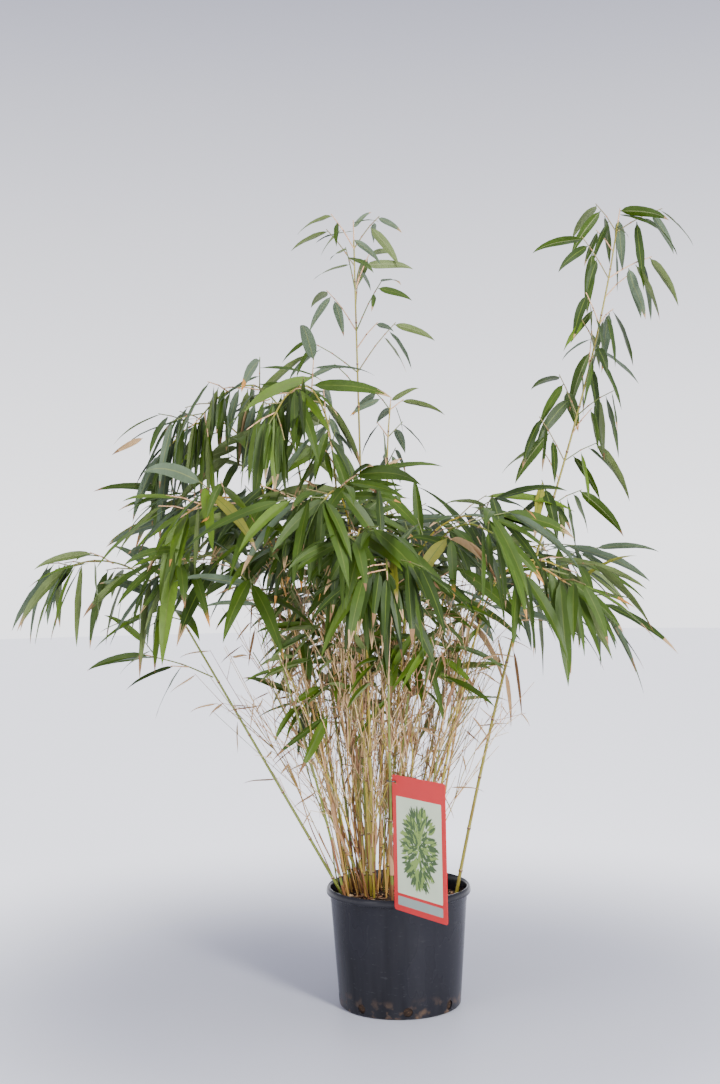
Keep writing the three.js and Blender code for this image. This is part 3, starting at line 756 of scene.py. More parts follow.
def make_leaf(draw, point, way, growth, twig_way):
    length = growth["leaf"] * (1 + wobble(draw, LEAF_WOBBLE))
    along = hanging(way, growth["hang"] * (1 + wobble(draw, growth["loose"])))
    roll = wobble(draw, LEAF_ROLL)
    middle = point + along * length * LEAF_BELLY
    outward = Vector((point.x - CLUMP.x, point.y - CLUMP.y, 0)).normalized()
    side = Matrix.Rotation(roll, 3, along) @ along.cross(UP + outward * LEAF_FACING).normalized()
    return {
        "root": point - twig_way * LEAF_ROOT, "along": along, "middle": middle, "side": side,
        "end": middle + hanging(along, LEAF_DROOP) * length * (1 - LEAF_BELLY),
        "width": length * growth["breadth"] * 0.5, "length": length,
    }


def grow_twig(draw, start, way, length, growth):
    end = start + way * length
    plane = way.cross(UP).normalized()
    leaves = []
    for i in range(growth["leaves"]):
        further = LEAF_OPENING + i * LEAF_OPENING_STEP + wobble(draw, LEAF_TURN_WOBBLE)
        opening = math.radians(FIRST_LEAF_OPENING if i == 0 else further) * (1 if i % 2 == 0 else -1)
        leaf_way = between(way, plane, opening)
        leaves.append(make_leaf(draw, end - way * LEAF_SPACING * i, leaf_way, growth, way))
    return {"from": start, "end": end, "leaves": leaves}


def grow_spray(spray, seed, growth, drop):
    """The twigs of one leafy top. Each forks a little below a joint and carries its leaves."""
    joints, draw = spray["joints"], random_from(seed)
    twigs = []
    for i in range(1, len(joints)):
        ahead = (joints[i] - joints[i - 1]).normalized()
        fork = joints[i].lerp(joints[i - 1], drop)
        across = ahead.cross(UP).normalized()
        for twin in range(growth["twins"]):
            turn = (i * TWIG_TURN + twin / growth["twins"]) * math.tau + wobble(draw, TWIG_TURN_WOBBLE)
            opening = math.radians(TWIG_OPENING + wobble(draw, TWIG_OPENING_WOBBLE))
            length = growth["twig"] * (1 + wobble(draw, TWIG_WOBBLE))
            way = between(ahead, Matrix.Rotation(turn, 3, ahead) @ across, opening)
            twigs.append(grow_twig(draw, fork, way, length, growth))
    onward = (joints[-1] - joints[-2]).normalized()
    tip = joints[-1] - onward * LEAF_ROOT
    twigs.append(grow_twig(draw, tip, onward, growth["twig"] * LAST_TWIG_SHARE, growth))
    return twigs


# How many leaves a twig of the second growth carries where it isn't two. Tops with none go without it
FINE_LEAVES = dict.fromkeys((
    "middle_short", "far_left_low", "left_small", "right_tall_low", "right_fan", "right_low", "middle_1",
    "outer_1", "outer_6",
), 0) | dict.fromkeys(("right_tall", "middle_tall", "middle_5", "inner_4"), 1) | dict.fromkeys((
    "outer_left", "front", "outer_5", "low_left", "middle_4",
), 3)
for spray in sprays:
    growth, seed = spray["growth"], spray["seed"]
    spray["twigs"] = grow_spray(spray, seed, growth, TWIG_DROP)
    leaves = FINE_LEAVES.get(spray["name"], 2)
    if leaves:
        finer = growth | {"twins": 1, "leaves": leaves, "twig": growth["twig"] * FINE_SIZE,
                          "leaf": growth["leaf"] * FINE_SIZE}
        spray["twigs"] += grow_spray(spray, seed + FINE_SEED_STEP, finer, FINE_DROP)

CARD_CLEAR = (Vector((-20, -215, 145)), Vector((80, -105, 348)))
LEAF_CLEAR = 2.2
culm_tree = BVHTree.FromPolygons([tuple(corner.co / MM) for corner in culms.data.vertices],
                                 [tuple(face.vertices) for face in culms.data.polygons])


def in_own_space(spray, point):
    """Whether no other top is nearer to a point than its own is, by OWN_SPACE or more."""
    near = min((point - joint).length for joint in spray["joints"]) - OWN_SPACE
    return all((point - joint).length > near
               for other in sprays if other is not spray for joint in other["joints"])


def is_clear(leaf):
    """Whether a leaf hangs above the pot, beside the picture card and off the canes."""
    if leaf["end"].z <= POT_HEIGHT:
        return False
    marks = [leaf["middle"].lerp(leaf["end"], share) for share in (0, 0.25, 0.5, 0.75, 1)]
    low, high = CARD_CLEAR
    if any(all(low[i] < mark[i] < high[i] for i in range(3)) for mark in marks):
        return False
    return all(culm_tree.find_nearest(mark, LEAF_CLEAR)[0] is None for mark in marks)


for spray in sprays:
    for twig in spray["twigs"]:
        twig["leaves"] = [leaf for leaf in twig["leaves"]
                          if is_clear(leaf) and in_own_space(spray, leaf["middle"])]

BLADE_ACROSS = np.array([-1, -0.52, -0.07, 0.07, 0.52, 1])
BLADE_ALONG = np.array([0, 0.035, 0.1, 0.2, 0.32, 0.45, 0.6, 0.75, 0.88, 0.96, 1])
BLADE_WIDTH = np.array([0.09, 0.13, 0.64, 0.93, 1, 0.95, 0.8, 0.56, 0.29, 0.1, 0.015])
BLADE_THICKNESS = 0.26
BLADE_EDGE_THINNING = 0.55
BLADE_TWIST = 0.5
BLADE_FOLD = (0.1, 0.42)
BLADE_RIPPLE = 0.07
BLADE_WAVES = (1.5, 3)
CURL_TWIST = 1.6
CURL_FOLD = 0.8
blade_form = bmesh.new()
bmesh.ops.create_grid(blade_form, x_segments=5, y_segments=10, size=1)
bmesh.ops.solidify(blade_form, geom=blade_form.faces[:], thickness=1)
bmesh.ops.recalc_face_normals(blade_form, faces=blade_form.faces)
blade_corners, blade_triangles = as_arrays(blade_form)
blade_column = np.rint((blade_corners[:, 0] + 1) * 2.5).astype(int)
blade_row = np.rint((blade_corners[:, 1] + 1) * 5).astype(int)
blade_layer = (blade_corners[:, 2] > blade_corners[:, 2].mean()).astype(float)


def unit(rows):
    return rows / np.linalg.norm(rows, axis=-1, keepdims=True)


def swept(places, ways, sides, twists):
    """Frames along many curves: each side is squared to its curve, then turned about it."""
    sides = unit(sides - ways * np.sum(sides * ways, axis=-1, keepdims=True))
    faces = np.cross(sides, ways)
    turn = twists[..., None]
    return sides * np.cos(turn) + faces * np.sin(turn), faces * np.cos(turn) - sides * np.sin(turn)


def blades(leaves, dice, curl):
    """The corners of many blades. Each follows a smooth curve from its twig to its hanging tip, with
    its edges a little raised, and twists on the way."""
    column = {key: rows(leaf[key] for leaf in leaves) for key in ("root", "along", "middle", "end", "side")}
    length = np.array([leaf["length"] for leaf in leaves])[:, None]
    width = np.array([leaf["width"] for leaf in leaves])[:, None]
    t = BLADE_ALONG[None, :, None]
    onward = unit(column["end"] - column["middle"])
    pull = onward + np.array([0, 0, -0.3 * (1 + curl)])
    first = column["root"] + column["along"] * length * LEAF_BELLY
    second = column["end"] - unit(pull) * length * 0.3
    root, first, second, end = (points[:, None] for points in (column["root"], first, second, column["end"]))
    spine = root * (1 - t) ** 3 + first * 3 * t * (1 - t) ** 2 + second * 3 * t * t * (1 - t) + end * t ** 3
    ways = unit((first - root) * (1 - t) ** 2 + (second - first) * 2 * t * (1 - t) + (end - second) * t * t)
    count = len(leaves)
    twists = dice.uniform(-1, 1, (count, 1)) * (BLADE_TWIST + CURL_TWIST * curl) * (BLADE_ALONG[None] - 0.3)
    sides, faces = swept(spine, ways, np.repeat(column["side"][:, None], len(BLADE_ALONG), 1), twists)
    fold = np.tan(dice.uniform(*BLADE_FOLD, (count, 1)) + CURL_FOLD * curl)
    phase, waves = dice.uniform(0, math.tau, (count, 1)), dice.uniform(*BLADE_WAVES, (count, 1))
    across, row = BLADE_ACROSS[blade_column][None], blade_row
    reach = width * BLADE_WIDTH[row][None]
    swing = np.sin(phase + waves * math.tau * BLADE_ALONG[row][None] + across * 1.2)
    ripple = swing * BLADE_RIPPLE * np.abs(across)
    thin = BLADE_THICKNESS * (1 - BLADE_EDGE_THINNING * np.abs(across)) * (blade_layer[None] - 0.5)
    out = reach * across / np.sqrt(1 + fold ** 2 * 0.8)
    lift = reach * (np.abs(across) * fold * 0.8 + ripple) + thin
    return spine[:, row] + sides[:, row] * out[..., None] + faces[:, row] * lift[..., None]


leaf_looks = {
    "leaf_deep": ((0.018, 0.037, 0.003), 0.45), "leaf_mid": ((0.036, 0.07, 0.004), 0.45),
    "leaf_fresh": ((0.07, 0.125, 0.006), 0.45), "leaf_yellowing": ((0.17, 0.17, 0.015), 0.5),
    "under_blue": ((0.095, 0.135, 0.08), 0.6), "under_green": ((0.11, 0.15, 0.045), 0.55),
    "rib_upper": ((0.075, 0.11, 0.012), 0.45), "rib_under": ((0.17, 0.2, 0.08), 0.55),
    "dry_tan": ((0.4, 0.26, 0.13), 0.75), "dry_brown": ((0.2, 0.11, 0.05), 0.75),
    "dry_orange": ((0.45, 0.2, 0.04), 0.6),
}
(DEEP, MID, FRESH, YELLOWING, UNDER_BLUE, UNDER_GREEN, RIB_UPPER, RIB_UNDER,
 DRY_TAN, DRY_BROWN, DRY_ORANGE) = range(len(leaf_looks))
DRY = [DRY_TAN, DRY_BROWN, DRY_ORANGE]
CURLED_SHARE = 0.015
OWN_GREEN_SHARE = 0.62
DRY_TIP_SHARE = 0.36
NO_DRY_TIP = 2


def leaf_finish(name, colour, roughness):
    """Matte blade colour, with faint cloudy change from leaf to leaf and fine streaks."""
    material, tree, shader = plain_finish(name, colour, roughness, 0.25)
    cloudy = mottle(tree, (1, 1, 1), 22, 3, 0.35, 0.65)
    fine = mottle(tree, (1, 1, 0.5), 260, 4, 0.4, 0.65)
    body = mixed(tree, cloudy, shaded(colour, 0.84), shaded(colour, 1.16))
    body = mixed(tree, between_values(tree, fine, 0, 0.35), body, shaded(colour, 0.7))
    tree.links.new(body, shader.inputs["Base Color"])
    return material


leaf_finishes = [leaf_finish(name, *look) for name, look in leaf_looks.items()]
triangle_layer = blade_layer[blade_triangles].mean(axis=1)
triangle_across = BLADE_ACROSS[blade_column[blade_triangles]].mean(axis=1)
triangle_along = BLADE_ALONG[blade_row[blade_triangles]].mean(axis=1)
on_rib = np.abs(triangle_across) < 0.06
is_under = triangle_layer < 0.01


def leaf_marks(uppers, unders, tips, reaches):
    """The finish of every triangle of every leaf. A dry tip starts at the leaf's own reach."""
    marks = np.where(is_under[None], unders[:, None], uppers[:, None])
    green = uppers[:, None] < DRY_TAN
    marks = np.where(on_rib[None] & green, np.where(is_under, RIB_UNDER, RIB_UPPER)[None], marks)
    ragged = triangle_along[None] + np.abs(triangle_across)[None] * 0.05 > reaches[:, None]
    return np.where(ragged, tips[:, None], marks)


def leaf_batches(spray, dice):
    """Blades of one top and their colours, dealt by spray: its own green, and a few odd or dry ones."""
    tall = spray["name"] == "right_tall"
    main = DEEP if tall else dice.choice([DEEP, MID, FRESH], p=[0.3, 0.5, 0.2])
    leaves = [leaf for twig in spray["twigs"] for leaf in twig["leaves"]]
    curled = dice.uniform(0, 1, len(leaves)) < CURLED_SHARE
    batches = []
    for curl in (0, 1):
        chosen = [leaf for leaf, dried in zip(leaves, curled) if dried == bool(curl)]
        if not chosen:
            continue
        count = len(chosen)
        if curl:
            uppers = dice.choice(DRY, count, p=[0.6, 0.25, 0.15])
            unders, tips, reaches = uppers, np.full(count, DRY_BROWN), np.full(count, 0.85)
        else:
            own = dice.uniform(0, 1, count) < OWN_GREEN_SHARE
            odd = dice.choice([DEEP, MID, FRESH, YELLOWING], count, p=[0.3, 0.4, 0.25, 0.05])
            uppers = np.where(own, main, odd)
            unders = dice.choice([MID, UNDER_BLUE, UNDER_GREEN], count,
                                 p=[0.5, 0.2, 0.3] if tall else [0, 0.6, 0.4])
            tips = dice.choice(DRY, count, p=[0.45, 0.35, 0.2])
            dry_tipped = dice.uniform(0, 1, count) < DRY_TIP_SHARE
            reaches = np.where(dry_tipped, dice.uniform(0.78, 0.98, count), NO_DRY_TIP)
        marks = leaf_marks(uppers, unders, tips, reaches)
        batches.append((blades(chosen, dice, curl * 0.8), blade_triangles, marks))
    return batches


LEAF_REGIONS = {
    "right_tall": ["right_tall", "right_tall_low"], "middle_tall": ["middle_tall", "middle_short"],
    "far_left": ["far_left", "far_left_low", "left_small", "low_left"],
    "high_left": ["high_left", "outer_left"], "high_centre": ["high_centre", "front"],
    "right": ["right_fan", "right_low"], "inner": [f"inner_{i}" for i in range(1, 5)],
    "middle": [f"middle_{i}" for i in range(1, 6)], "outer_near": [f"outer_{i}" for i in range(1, 4)],
    "outer_far": [f"outer_{i}" for i in range(4, 7)],
}
dice = np.random.default_rng(402)
for region, names in LEAF_REGIONS.items():
    batches = [batch for spray in sprays if spray["name"] in names for batch in leaf_batches(spray, dice)]
    foliage = joined(f"foliage_{region}", batches, leaf_finishes, sharp=50)
    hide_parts(*[f"leaves_{name}" for name in names])

twig_colours = {
    "green": (0.13, 0.16, 0.04), "olive": (0.2, 0.17, 0.06), "tan": (0.66, 0.46, 0.22),
    "pink": (0.62, 0.37, 0.2), "brown": (0.28, 0.14, 0.065),
}
TWIG_GREEN, TWIG_OLIVE, TWIG_TAN, TWIG_PINK, TWIG_BROWN = range(len(twig_colours))
TWIG_JOINT_SPACING = 26
TWIG_JOINT_REACH = 1.6
TWIG_JOINT_SWELL = 1.45
twig_finishes = [cane_finish(f"twig_{name}", colour) for name, colour in twig_colours.items()]


def twig_tube(points, start_radius, end_radius, sides, tint):
    """A thin shoot along a line, brown at its own few joints."""
    length = line_length(points)
    joints = max(1, round(length / TWIG_JOINT_SPACING))
    stations, radii, marks = [0.0], [start_radius], []
    for i in range(1, joints):
        place = length * i / joints
        size = start_radius + (end_radius - start_radius) * i / joints
        stations += [place - TWIG_JOINT_REACH, place, place + TWIG_JOINT_REACH]
        radii += [size, size * TWIG_JOINT_SWELL, size]
        marks += [tint, TWIG_BROWN, TWIG_BROWN]
    return tube(points, [*stations, length], [*radii, end_radius], sides, [*marks, tint])


twig_batches = []
for spray in sprays:
    for twig in spray["twigs"]:
        sag = Vector((0, 0, (twig["end"] - twig["from"]).length * 0.05))
        path = smoothed([twig["from"], twig["from"].lerp(twig["end"], 0.5) + sag, twig["end"]], 4)
        tint = int(dice.choice([TWIG_GREEN, TWIG_OLIVE, TWIG_PINK]))
        twig_batches.append(twig_tube(path, TWIG_RADIUS, TWIG_END_RADIUS * STEM_SLIM, 6, tint))
twigs = joined("leafy_twigs", twig_batches, twig_finishes, sharp=70)


# Thin shoots
# Many thin bare shoots stand between the canes, and whiskery side branches rise from every node,
# buff and pinkish, some still wrapped in dry papery sheaths. Single leaves, green ones and dead
# ones, hang from the side branches.
SHOOT_COUNT = 64
SHOOT_TURN = 137.5
SHOOT_SPREAD = (192, 112)
SHOOT_SWAY = 26
SHOOT_HEIGHTS = (400, 600)
SHOOT_RADII = (0.75, 1.35)
SHOOT_NODE_SPACING = 70
SHOOT_TIP_CLEAR = 20
NOISE_SEED = 5
shoot_lines = []
dice = np.random.default_rng(58)
noise.seed_set(NOISE_SEED)


def wavering(points, seed):
    """A line swayed to and fro more and more towards its tip."""
    sway = np.linspace(0, 1, len(points)) * SHOOT_SWAY
    drift = rows(noise.noise_vector(Vector((seed * 7.3, point[2] * 0.011, seed))) for point in points)
    return points + drift * np.array([1, 1, 0.3]) * sway[:, None]


for i in range(SHOOT_COUNT):
    way = direction(i * SHOOT_TURN + dice.uniform(-12, 12), 0)
    reach = dice.uniform(0.2, 1)
    out = Vector((way.x * SHOOT_SPREAD[0] * reach, way.y * SHOOT_SPREAD[1] * reach, 0))
    foot = CLUMP * 0.9 + out * 0.2 + Vector((dice.uniform(-26, 26), dice.uniform(-20, 20), 0))
    tip = CLUMP + out + UP * (dice.uniform(*SHOOT_HEIGHTS) - out.x * 0.1)
    line = wavering(cane_points(foot[:2], tip, CANE_BOW), i)
    shoot_lines.append((line, dice.uniform(*SHOOT_RADII)))


def roots_along(line, nodes, radius):
    """Where side branches spring from a cane: the place, the way the cane runs there, and its radius."""
    length = line_length(line)
    return [(point_at(line, node), tangent_at(line, node / length), radius) for node in nodes]


def any_side(dice, way):
    """A random way square to this one."""
    return Matrix.Rotation(dice.uniform(0, math.tau), 3, way) @ way.orthogonal().normalized()


shoot_batches = []
branch_roots = []
for number, (line, radius) in enumerate(shoot_lines):
    length = line_length(line)
    count = max(4, round(length / SHOOT_NODE_SPACING))
    nodes = np.cumsum(dice.uniform(0.8, 1.2, count))[:-1] / count * length
    nodes = nodes[nodes < length - SHOOT_TIP_CLEAR]
    tint = int(dice.choice(CANE_TINTS))
    foot_tint = (RUST, STRAW, RUST, tint)[number % 4]
    shoot_batches.append(culm(line, list(nodes), radius, radius * 0.6, 7, tint, foot_tint))
    branch_roots += roots_along(line, nodes, radius)
shoots = joined("thin_shoots", shoot_batches, cane_finishes, sharp=70)

for cane in canes:
    if cane["name"] not in ("far_left", "right_tall", "low_left"):
        branch_roots += roots_along(cane["line"], cane["nodes"], cane["radius"])

WHISKER_LOW = 230
WHISKER_HIGH = 640
WHISKER_REACH = 235
BUSHY_FROM = 340
WHISKER_LENGTHS = (60, 170)
WHISKER_RADII = (0.5, 0.8)
WHISKER_END_RADIUS = 0.36
WHISKER_TINTS = [TWIG_TAN, TWIG_TAN, TWIG_PINK, TWIG_OLIVE, TWIG_OLIVE, TWIG_BROWN]
SPUR_SHARE = 0.36
SPUR_LENGTHS = (15, 46)
whisker_batches = []
whisker_tips = []
for place, way, radius in branch_roots:
    if not WHISKER_LOW < place[2] < WHISKER_HIGH or abs(place[0] - CLUMP.x) > WHISKER_REACH:
        continue
    for _ in range(int(dice.choice([1, 2, 3])) + (place[2] > BUSHY_FROM)):
        out = any_side(dice, way)
        aim = between(way, out, math.radians(dice.uniform(5, 30)))
        length = dice.uniform(*WHISKER_LENGTHS)
        start = Vector(place) + out * radius * 0.5
        elbow = start + aim * length * 0.5
        onward = (aim + UP * 0.15 + way * 0.15 + out * dice.uniform(-0.3, 0.4)).normalized()
        tip = elbow + onward * length * 0.5
        path = smoothed([start, elbow, tip], 5)
        tint = int(dice.choice(WHISKER_TINTS))
        whisker_batches.append(twig_tube(path, dice.uniform(*WHISKER_RADII), WHISKER_END_RADIUS, 5, tint))
        whisker_tips.append((tip, (tip - elbow).normalized()))
        for share in (0.4, 0.7):
            if dice.uniform() < SPUR_SHARE:
                root = Vector(point_at(path, share * length))
                side = any_side(dice, aim)
                spur_way = between(aim, side, math.radians(dice.uniform(15, 50)))
                spur = root + spur_way * dice.uniform(*SPUR_LENGTHS)
                spur_path = rows([root, root.lerp(spur, 0.5), spur])
                whisker_batches.append(twig_tube(spur_path, 0.5, 0.32, 5, tint))
                whisker_tips.append((spur, (spur - root).normalized()))
whiskers = joined("side_branches", whisker_batches, twig_finishes, sharp=70)

DEAD_LEAF_SHARE = 0.2
LEAF_SHARE = 0.24
HIGH_LEAF_SHARE = 0.62
HIGH_LEAF = 470
LOWEST_LEAF = 390
LEAFY_REACH = 120
# Single leaves, listed one by one: root, tip, half width, colour
LAID_LEAVES = [
    ((166, -24, 500), (176, -30, 404), 3.5, DRY_BROWN), ((154, -30, 470), (160, -34, 392), 4.5, DRY_TAN),
    ((252, -20, 572), (258, -26, 500), 5, DRY_ORANGE), ((-352, -6, 806), (-396, -12, 782), 5, DRY_TAN),
    ((-95, -66, 415), (-137, -92, 336), 9, FRESH), ((-96, -66, 416), (-172, -84, 356), 5, MID),
    ((-105, -60, 456), (-147, -84, 429), 6, FRESH), ((-2, -70, 512), (-8, -96, 440), 9, FRESH),
    ((66, -60, 492), (106, -78, 452), 6, FRESH), ((-128, -40, 520), (-120, -66, 448), 8, MID),
]
stray_leaves, stray_tints = [], []


def stray_leaf(root, tip, width, tints, reach, face_out=(0.3, -1, 0.2)):
    """A single leaf from its root to its tip, and the tints of its top, its underside and its tip."""
    root, tip = Vector(root), Vector(tip)
    along = (tip - root).normalized()
    stray_leaves.append({
        "root": root, "along": along, "middle": root.lerp(tip, 0.4), "end": tip, "width": width,
        "side": along.cross(Vector(face_out)).normalized(), "length": (tip - root).length,
    })
    stray_tints.append((*tints, reach))


for tip, way in whisker_tips:
    chance = dice.uniform()
    leafy = tip.z > LOWEST_LEAF and abs(tip.x - CLUMP.x) < LEAFY_REACH
    if chance < DEAD_LEAF_SHARE:
        drop = hanging(way, dice.uniform(50, 150))
        stray_leaf(tip - way * 2, tip + drop * dice.uniform(20, 55), dice.uniform(1.1, 2.6),
                   (int(dice.choice([DRY_TAN, DRY_TAN, DRY_BROWN])), DRY_TAN, DRY_BROWN), 0.9,
                   tuple(dice.uniform(-1, 1, 3)))
    elif leafy and chance < (HIGH_LEAF_SHARE if tip.z > HIGH_LEAF else LEAF_SHARE):
        drop = hanging(way, dice.uniform(40, 120))
        stray_leaf(tip - way * 2, tip + drop * dice.uniform(60, 105), dice.uniform(4.5, 8),
                   (int(dice.choice([MID, MID, FRESH, FRESH])), UNDER_GREEN, DRY_TAN),
                   dice.choice([0.88, NO_DRY_TIP]),
                   (tip.x - CLUMP.x + dice.uniform(-90, 90), tip.y + dice.uniform(-90, 90), 60))
for root, tip, width, tint in LAID_LEAVES:
    stray_leaf(root, tip, width, (tint, tint, DRY_BROWN), 0.8)
stray_marks = leaf_marks(*(np.array(column) for column in zip(*stray_tints)))
stray = joined("stray_leaves", [(blades(stray_leaves, dice, 0.6), blade_triangles, stray_marks)],
               leaf_finishes, sharp=50)

SHEATH_TURN = 1.9
SHEATH_TOP = np.array([1, 1, 1, 0.98, 0.94, 0.86, 0.74, 0.58, 0.38, 0.2, 0.05])
SHEATH_LOW = 160
SHEATH_HIGH = 620
SHEATH_SHARE = 0.27
SHEATH_LENGTHS = (24, 58)
SHEATH_FLARE = (0.4, 2.6)
sheath_colours = {
    "sheath_buff": (0.52, 0.37, 0.18), "sheath_pink": (0.42, 0.24, 0.12), "sheath_brown": (0.22, 0.12, 0.06),
}
sheath_shapes, sheath_tints = [], []
for place, way, radius in branch_roots:
    if not SHEATH_LOW < place[2] < SHEATH_HIGH or dice.uniform() > SHEATH_SHARE:
        continue
    length = dice.uniform(*SHEATH_LENGTHS)
    out = any_side(dice, way)
    share = BLADE_ALONG[blade_row]
    turn = BLADE_ACROSS[blade_column] * SHEATH_TURN * SHEATH_TOP[blade_row]
    wall = radius * 1.14 + 0.25 + 0.22 * blade_layer + share ** 2 * dice.uniform(*SHEATH_FLARE)
    corners = (np.array(place) + np.outer(share * length, way) + np.outer(wall * np.cos(turn), out)
               + np.outer(wall * np.sin(turn), way.cross(out)))
    sheath_shapes.append(corners)
    sheath_tints.append(int(dice.choice([0, 0, 1, 2])))
sheath_batch = (np.array(sheath_shapes), blade_triangles, np.array(sheath_tints)[:, None])
sheaths = joined("papery_sheaths", [sheath_batch], plain_finishes(sheath_colours, 0.7), sharp=60)


# Picture card
# A thin gloss plastic tag with round corners hangs from a plastic ring about a front cane. It is red,
# and its face bears a cream panel of green leaf shapes, made up for this plant, over a grey band. Its
# back is pale.
CARD_TURN = 56
CARD_TILT = 0.5
CARD_LEFT = -7
CARD_RIGHT = 111
CARD_BOTTOM = -172
CARD_TOP = 10
CARD_THICKNESS = 0.9
CARD_CORNER = 4
CARD_BORDER = 9
CARD_BACK_BORDER = 1.5
PANEL_CORNER = 1.5
CARD_HOLE_RADIUS = 2.6
CARD_HANG = 329
CARD_REACH = 12
RING_WIRE = 0.8
RING_GAP = 0.4
RING_STEPS = 64
RING_RISE = 1.4
CARD_ACROSS = direction(-CARD_TURN, 0)
CARD_FACING = direction(-CARD_TURN - 90, 0)
front_cane = next(cane for cane in canes if cane["name"] == "front")
along_front = evenly(front_cane["line"], np.linspace(0, line_length(front_cane["line"]), 400))
hold_at = int(np.abs(along_front[:, 2] - CARD_HANG).argmin())
hold = Vector(along_front[hold_at])
hold_radius = front_cane["radius"] * (1 + (CANE_TAPER - 1) * hold_at / 399)
hole_centre = hold + CARD_ACROSS * CARD_REACH
card_place = Matrix.Translation(hole_centre) @ Matrix((
    (CARD_ACROSS.x, 0, CARD_FACING.x, 0), (CARD_ACROSS.y, 0, CARD_FACING.y, 0), (0, 1, 0, 0), (0, 0, 0, 1),
)) @ Matrix.Rotation(math.radians(CARD_TILT), 4, "Z")


def thickened(form, faces, depth):
    """Flat faces made into a slab, by raising a copy of them."""
    grown = bmesh.ops.extrude_face_region(form, geom=faces, use_keep_orig=True)["geom"]
    bmesh.ops.translate(form, vec=(0, 0, depth), verts=only(bmesh.types.BMVert, grown))


def card_piece(form, name, finish):
    bmesh.ops.recalc_face_normals(form, faces=form.faces)
    form.transform(card_place)
    return placed(form, name, [finish], sharp=30)


def gloss(name, colour):
    material, tree, shader = plain_finish(name, colour, 0.4, 0.25)
    body = mixed(tree, mottle(tree, (1, 1, 1), 30, 2, 0.3, 0.7), shaded(colour, 0.94), colour)
    tree.links.new(body, shader.inputs["Base Color"])
    return material


half = CARD_THICKNESS / 2
# Each panel: name, its finish and colour, left, right, bottom, top, corner radius, its two levels
CARD_PANELS = [
    ("card_body", "card_red", (0.6, 0.016, 0.018),
     CARD_LEFT, CARD_RIGHT, CARD_BOTTOM, CARD_TOP, CARD_CORNER, -half, half),
    ("card_back", "card_back_white", (0.7, 0.7, 0.68),
     CARD_LEFT + CARD_BACK_BORDER, CARD_RIGHT - CARD_BACK_BORDER, CARD_BOTTOM + CARD_BACK_BORDER, -8, 3,
     -half - 0.12, -half + 0.1),
    ("card_picture", "card_cream", (0.62, 0.7, 0.5),
     CARD_LEFT + CARD_BORDER, CARD_RIGHT - CARD_BORDER, CARD_BOTTOM + 24, -18, PANEL_CORNER,
     half - 0.1, half + 0.1),
    ("card_band", "card_slate", (0.3, 0.36, 0.32),
     CARD_LEFT + CARD_BORDER, CARD_RIGHT - CARD_BORDER, CARD_BOTTOM + 8, CARD_BOTTOM + 20, PANEL_CORNER,
     half - 0.1, half + 0.1),
]
for name, ink, colour, left, right, bottom, top, corner, low, high in CARD_PANELS:
    form = bmesh.new()
    places = ((left, bottom), (right, bottom), (right, top), (left, top))
    made = [form.verts.new((x, y, low)) for x, y in places]
    form.faces.new(made)
    bmesh.ops.bevel(form, geom=made, offset=corner, segments=5, profile=0.5, affect="VERTICES", material=-1)
    plate = form.faces[:][-1:]
    if name == "card_body":
        edges = list(plate[0].edges)
        bmesh.ops.delete(form, geom=plate, context="FACES_ONLY")
        rim = bmesh.ops.create_circle(form, cap_ends=False, segments=24, radius=CARD_HOLE_RADIUS,
                                      matrix=Matrix.Translation((0, 0, low)))["verts"]
        edges += list({edge for point in rim for edge in point.link_edges})
        filled = bmesh.ops.triangle_fill(form, edges=edges, use_beauty=True)["geom"]
        plate = only(bmesh.types.BMFace, filled)
    thickened(form, plate, high - low)
    panel = card_piece(form, name, gloss(ink, colour))
    if name == "card_body":
        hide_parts("label_card")

MOTIF_CENTRE = (52, -83)
MOTIF_REACH = (38, 53)
MOTIF_LENGTHS = (6, 9)
MOTIF_BREADTH = 0.24
PRINT_LEVEL = half + 0.1
PRINT_DEPTH = 0.12
PRINT_STEP = 0.002
# Each layer of the printed leaves: name, colour, count, and how far it stands over the first one
CARD_LEAVES = [
    ("card_leaf_pale", (0.22, 0.34, 0.07), 190, 0), ("card_leaf_dark", (0.05, 0.1, 0.025), 150, 0.1),
]
dice = np.random.default_rng(9)
for name, colour, count, lift in CARD_LEAVES:
    motif = bmesh.new()
    for i in range(count):
        bearing, reach = dice.uniform(0, math.tau), math.sqrt(dice.uniform(0, 1))
        spot = Vector((MOTIF_CENTRE[0] + MOTIF_REACH[0] * reach * math.cos(bearing),
                       MOTIF_CENTRE[1] + MOTIF_REACH[1] * reach * math.sin(bearing), PRINT_LEVEL))
        shape = bmesh.ops.create_circle(motif, cap_ends=True, segments=10, radius=1)["verts"]
        turn = Matrix.Rotation(bearing - math.pi / 2 + dice.uniform(-0.5, 0.5), 4, "Z")
        size = dice.uniform(*MOTIF_LENGTHS)
        for corner in shape:
            x, y = corner.co.x, corner.co.y
            corner.co = turn @ Vector((x * size * MOTIF_BREADTH * (1 - 0.5 * y), y * size, 0)) + spot
            corner.co.z += PRINT_STEP * i + lift
        thickened(motif, list({face for corner in shape for face in corner.link_faces}), PRINT_DEPTH)
    leaf_print = card_piece(motif, name, gloss(f"{name}_ink", colour))

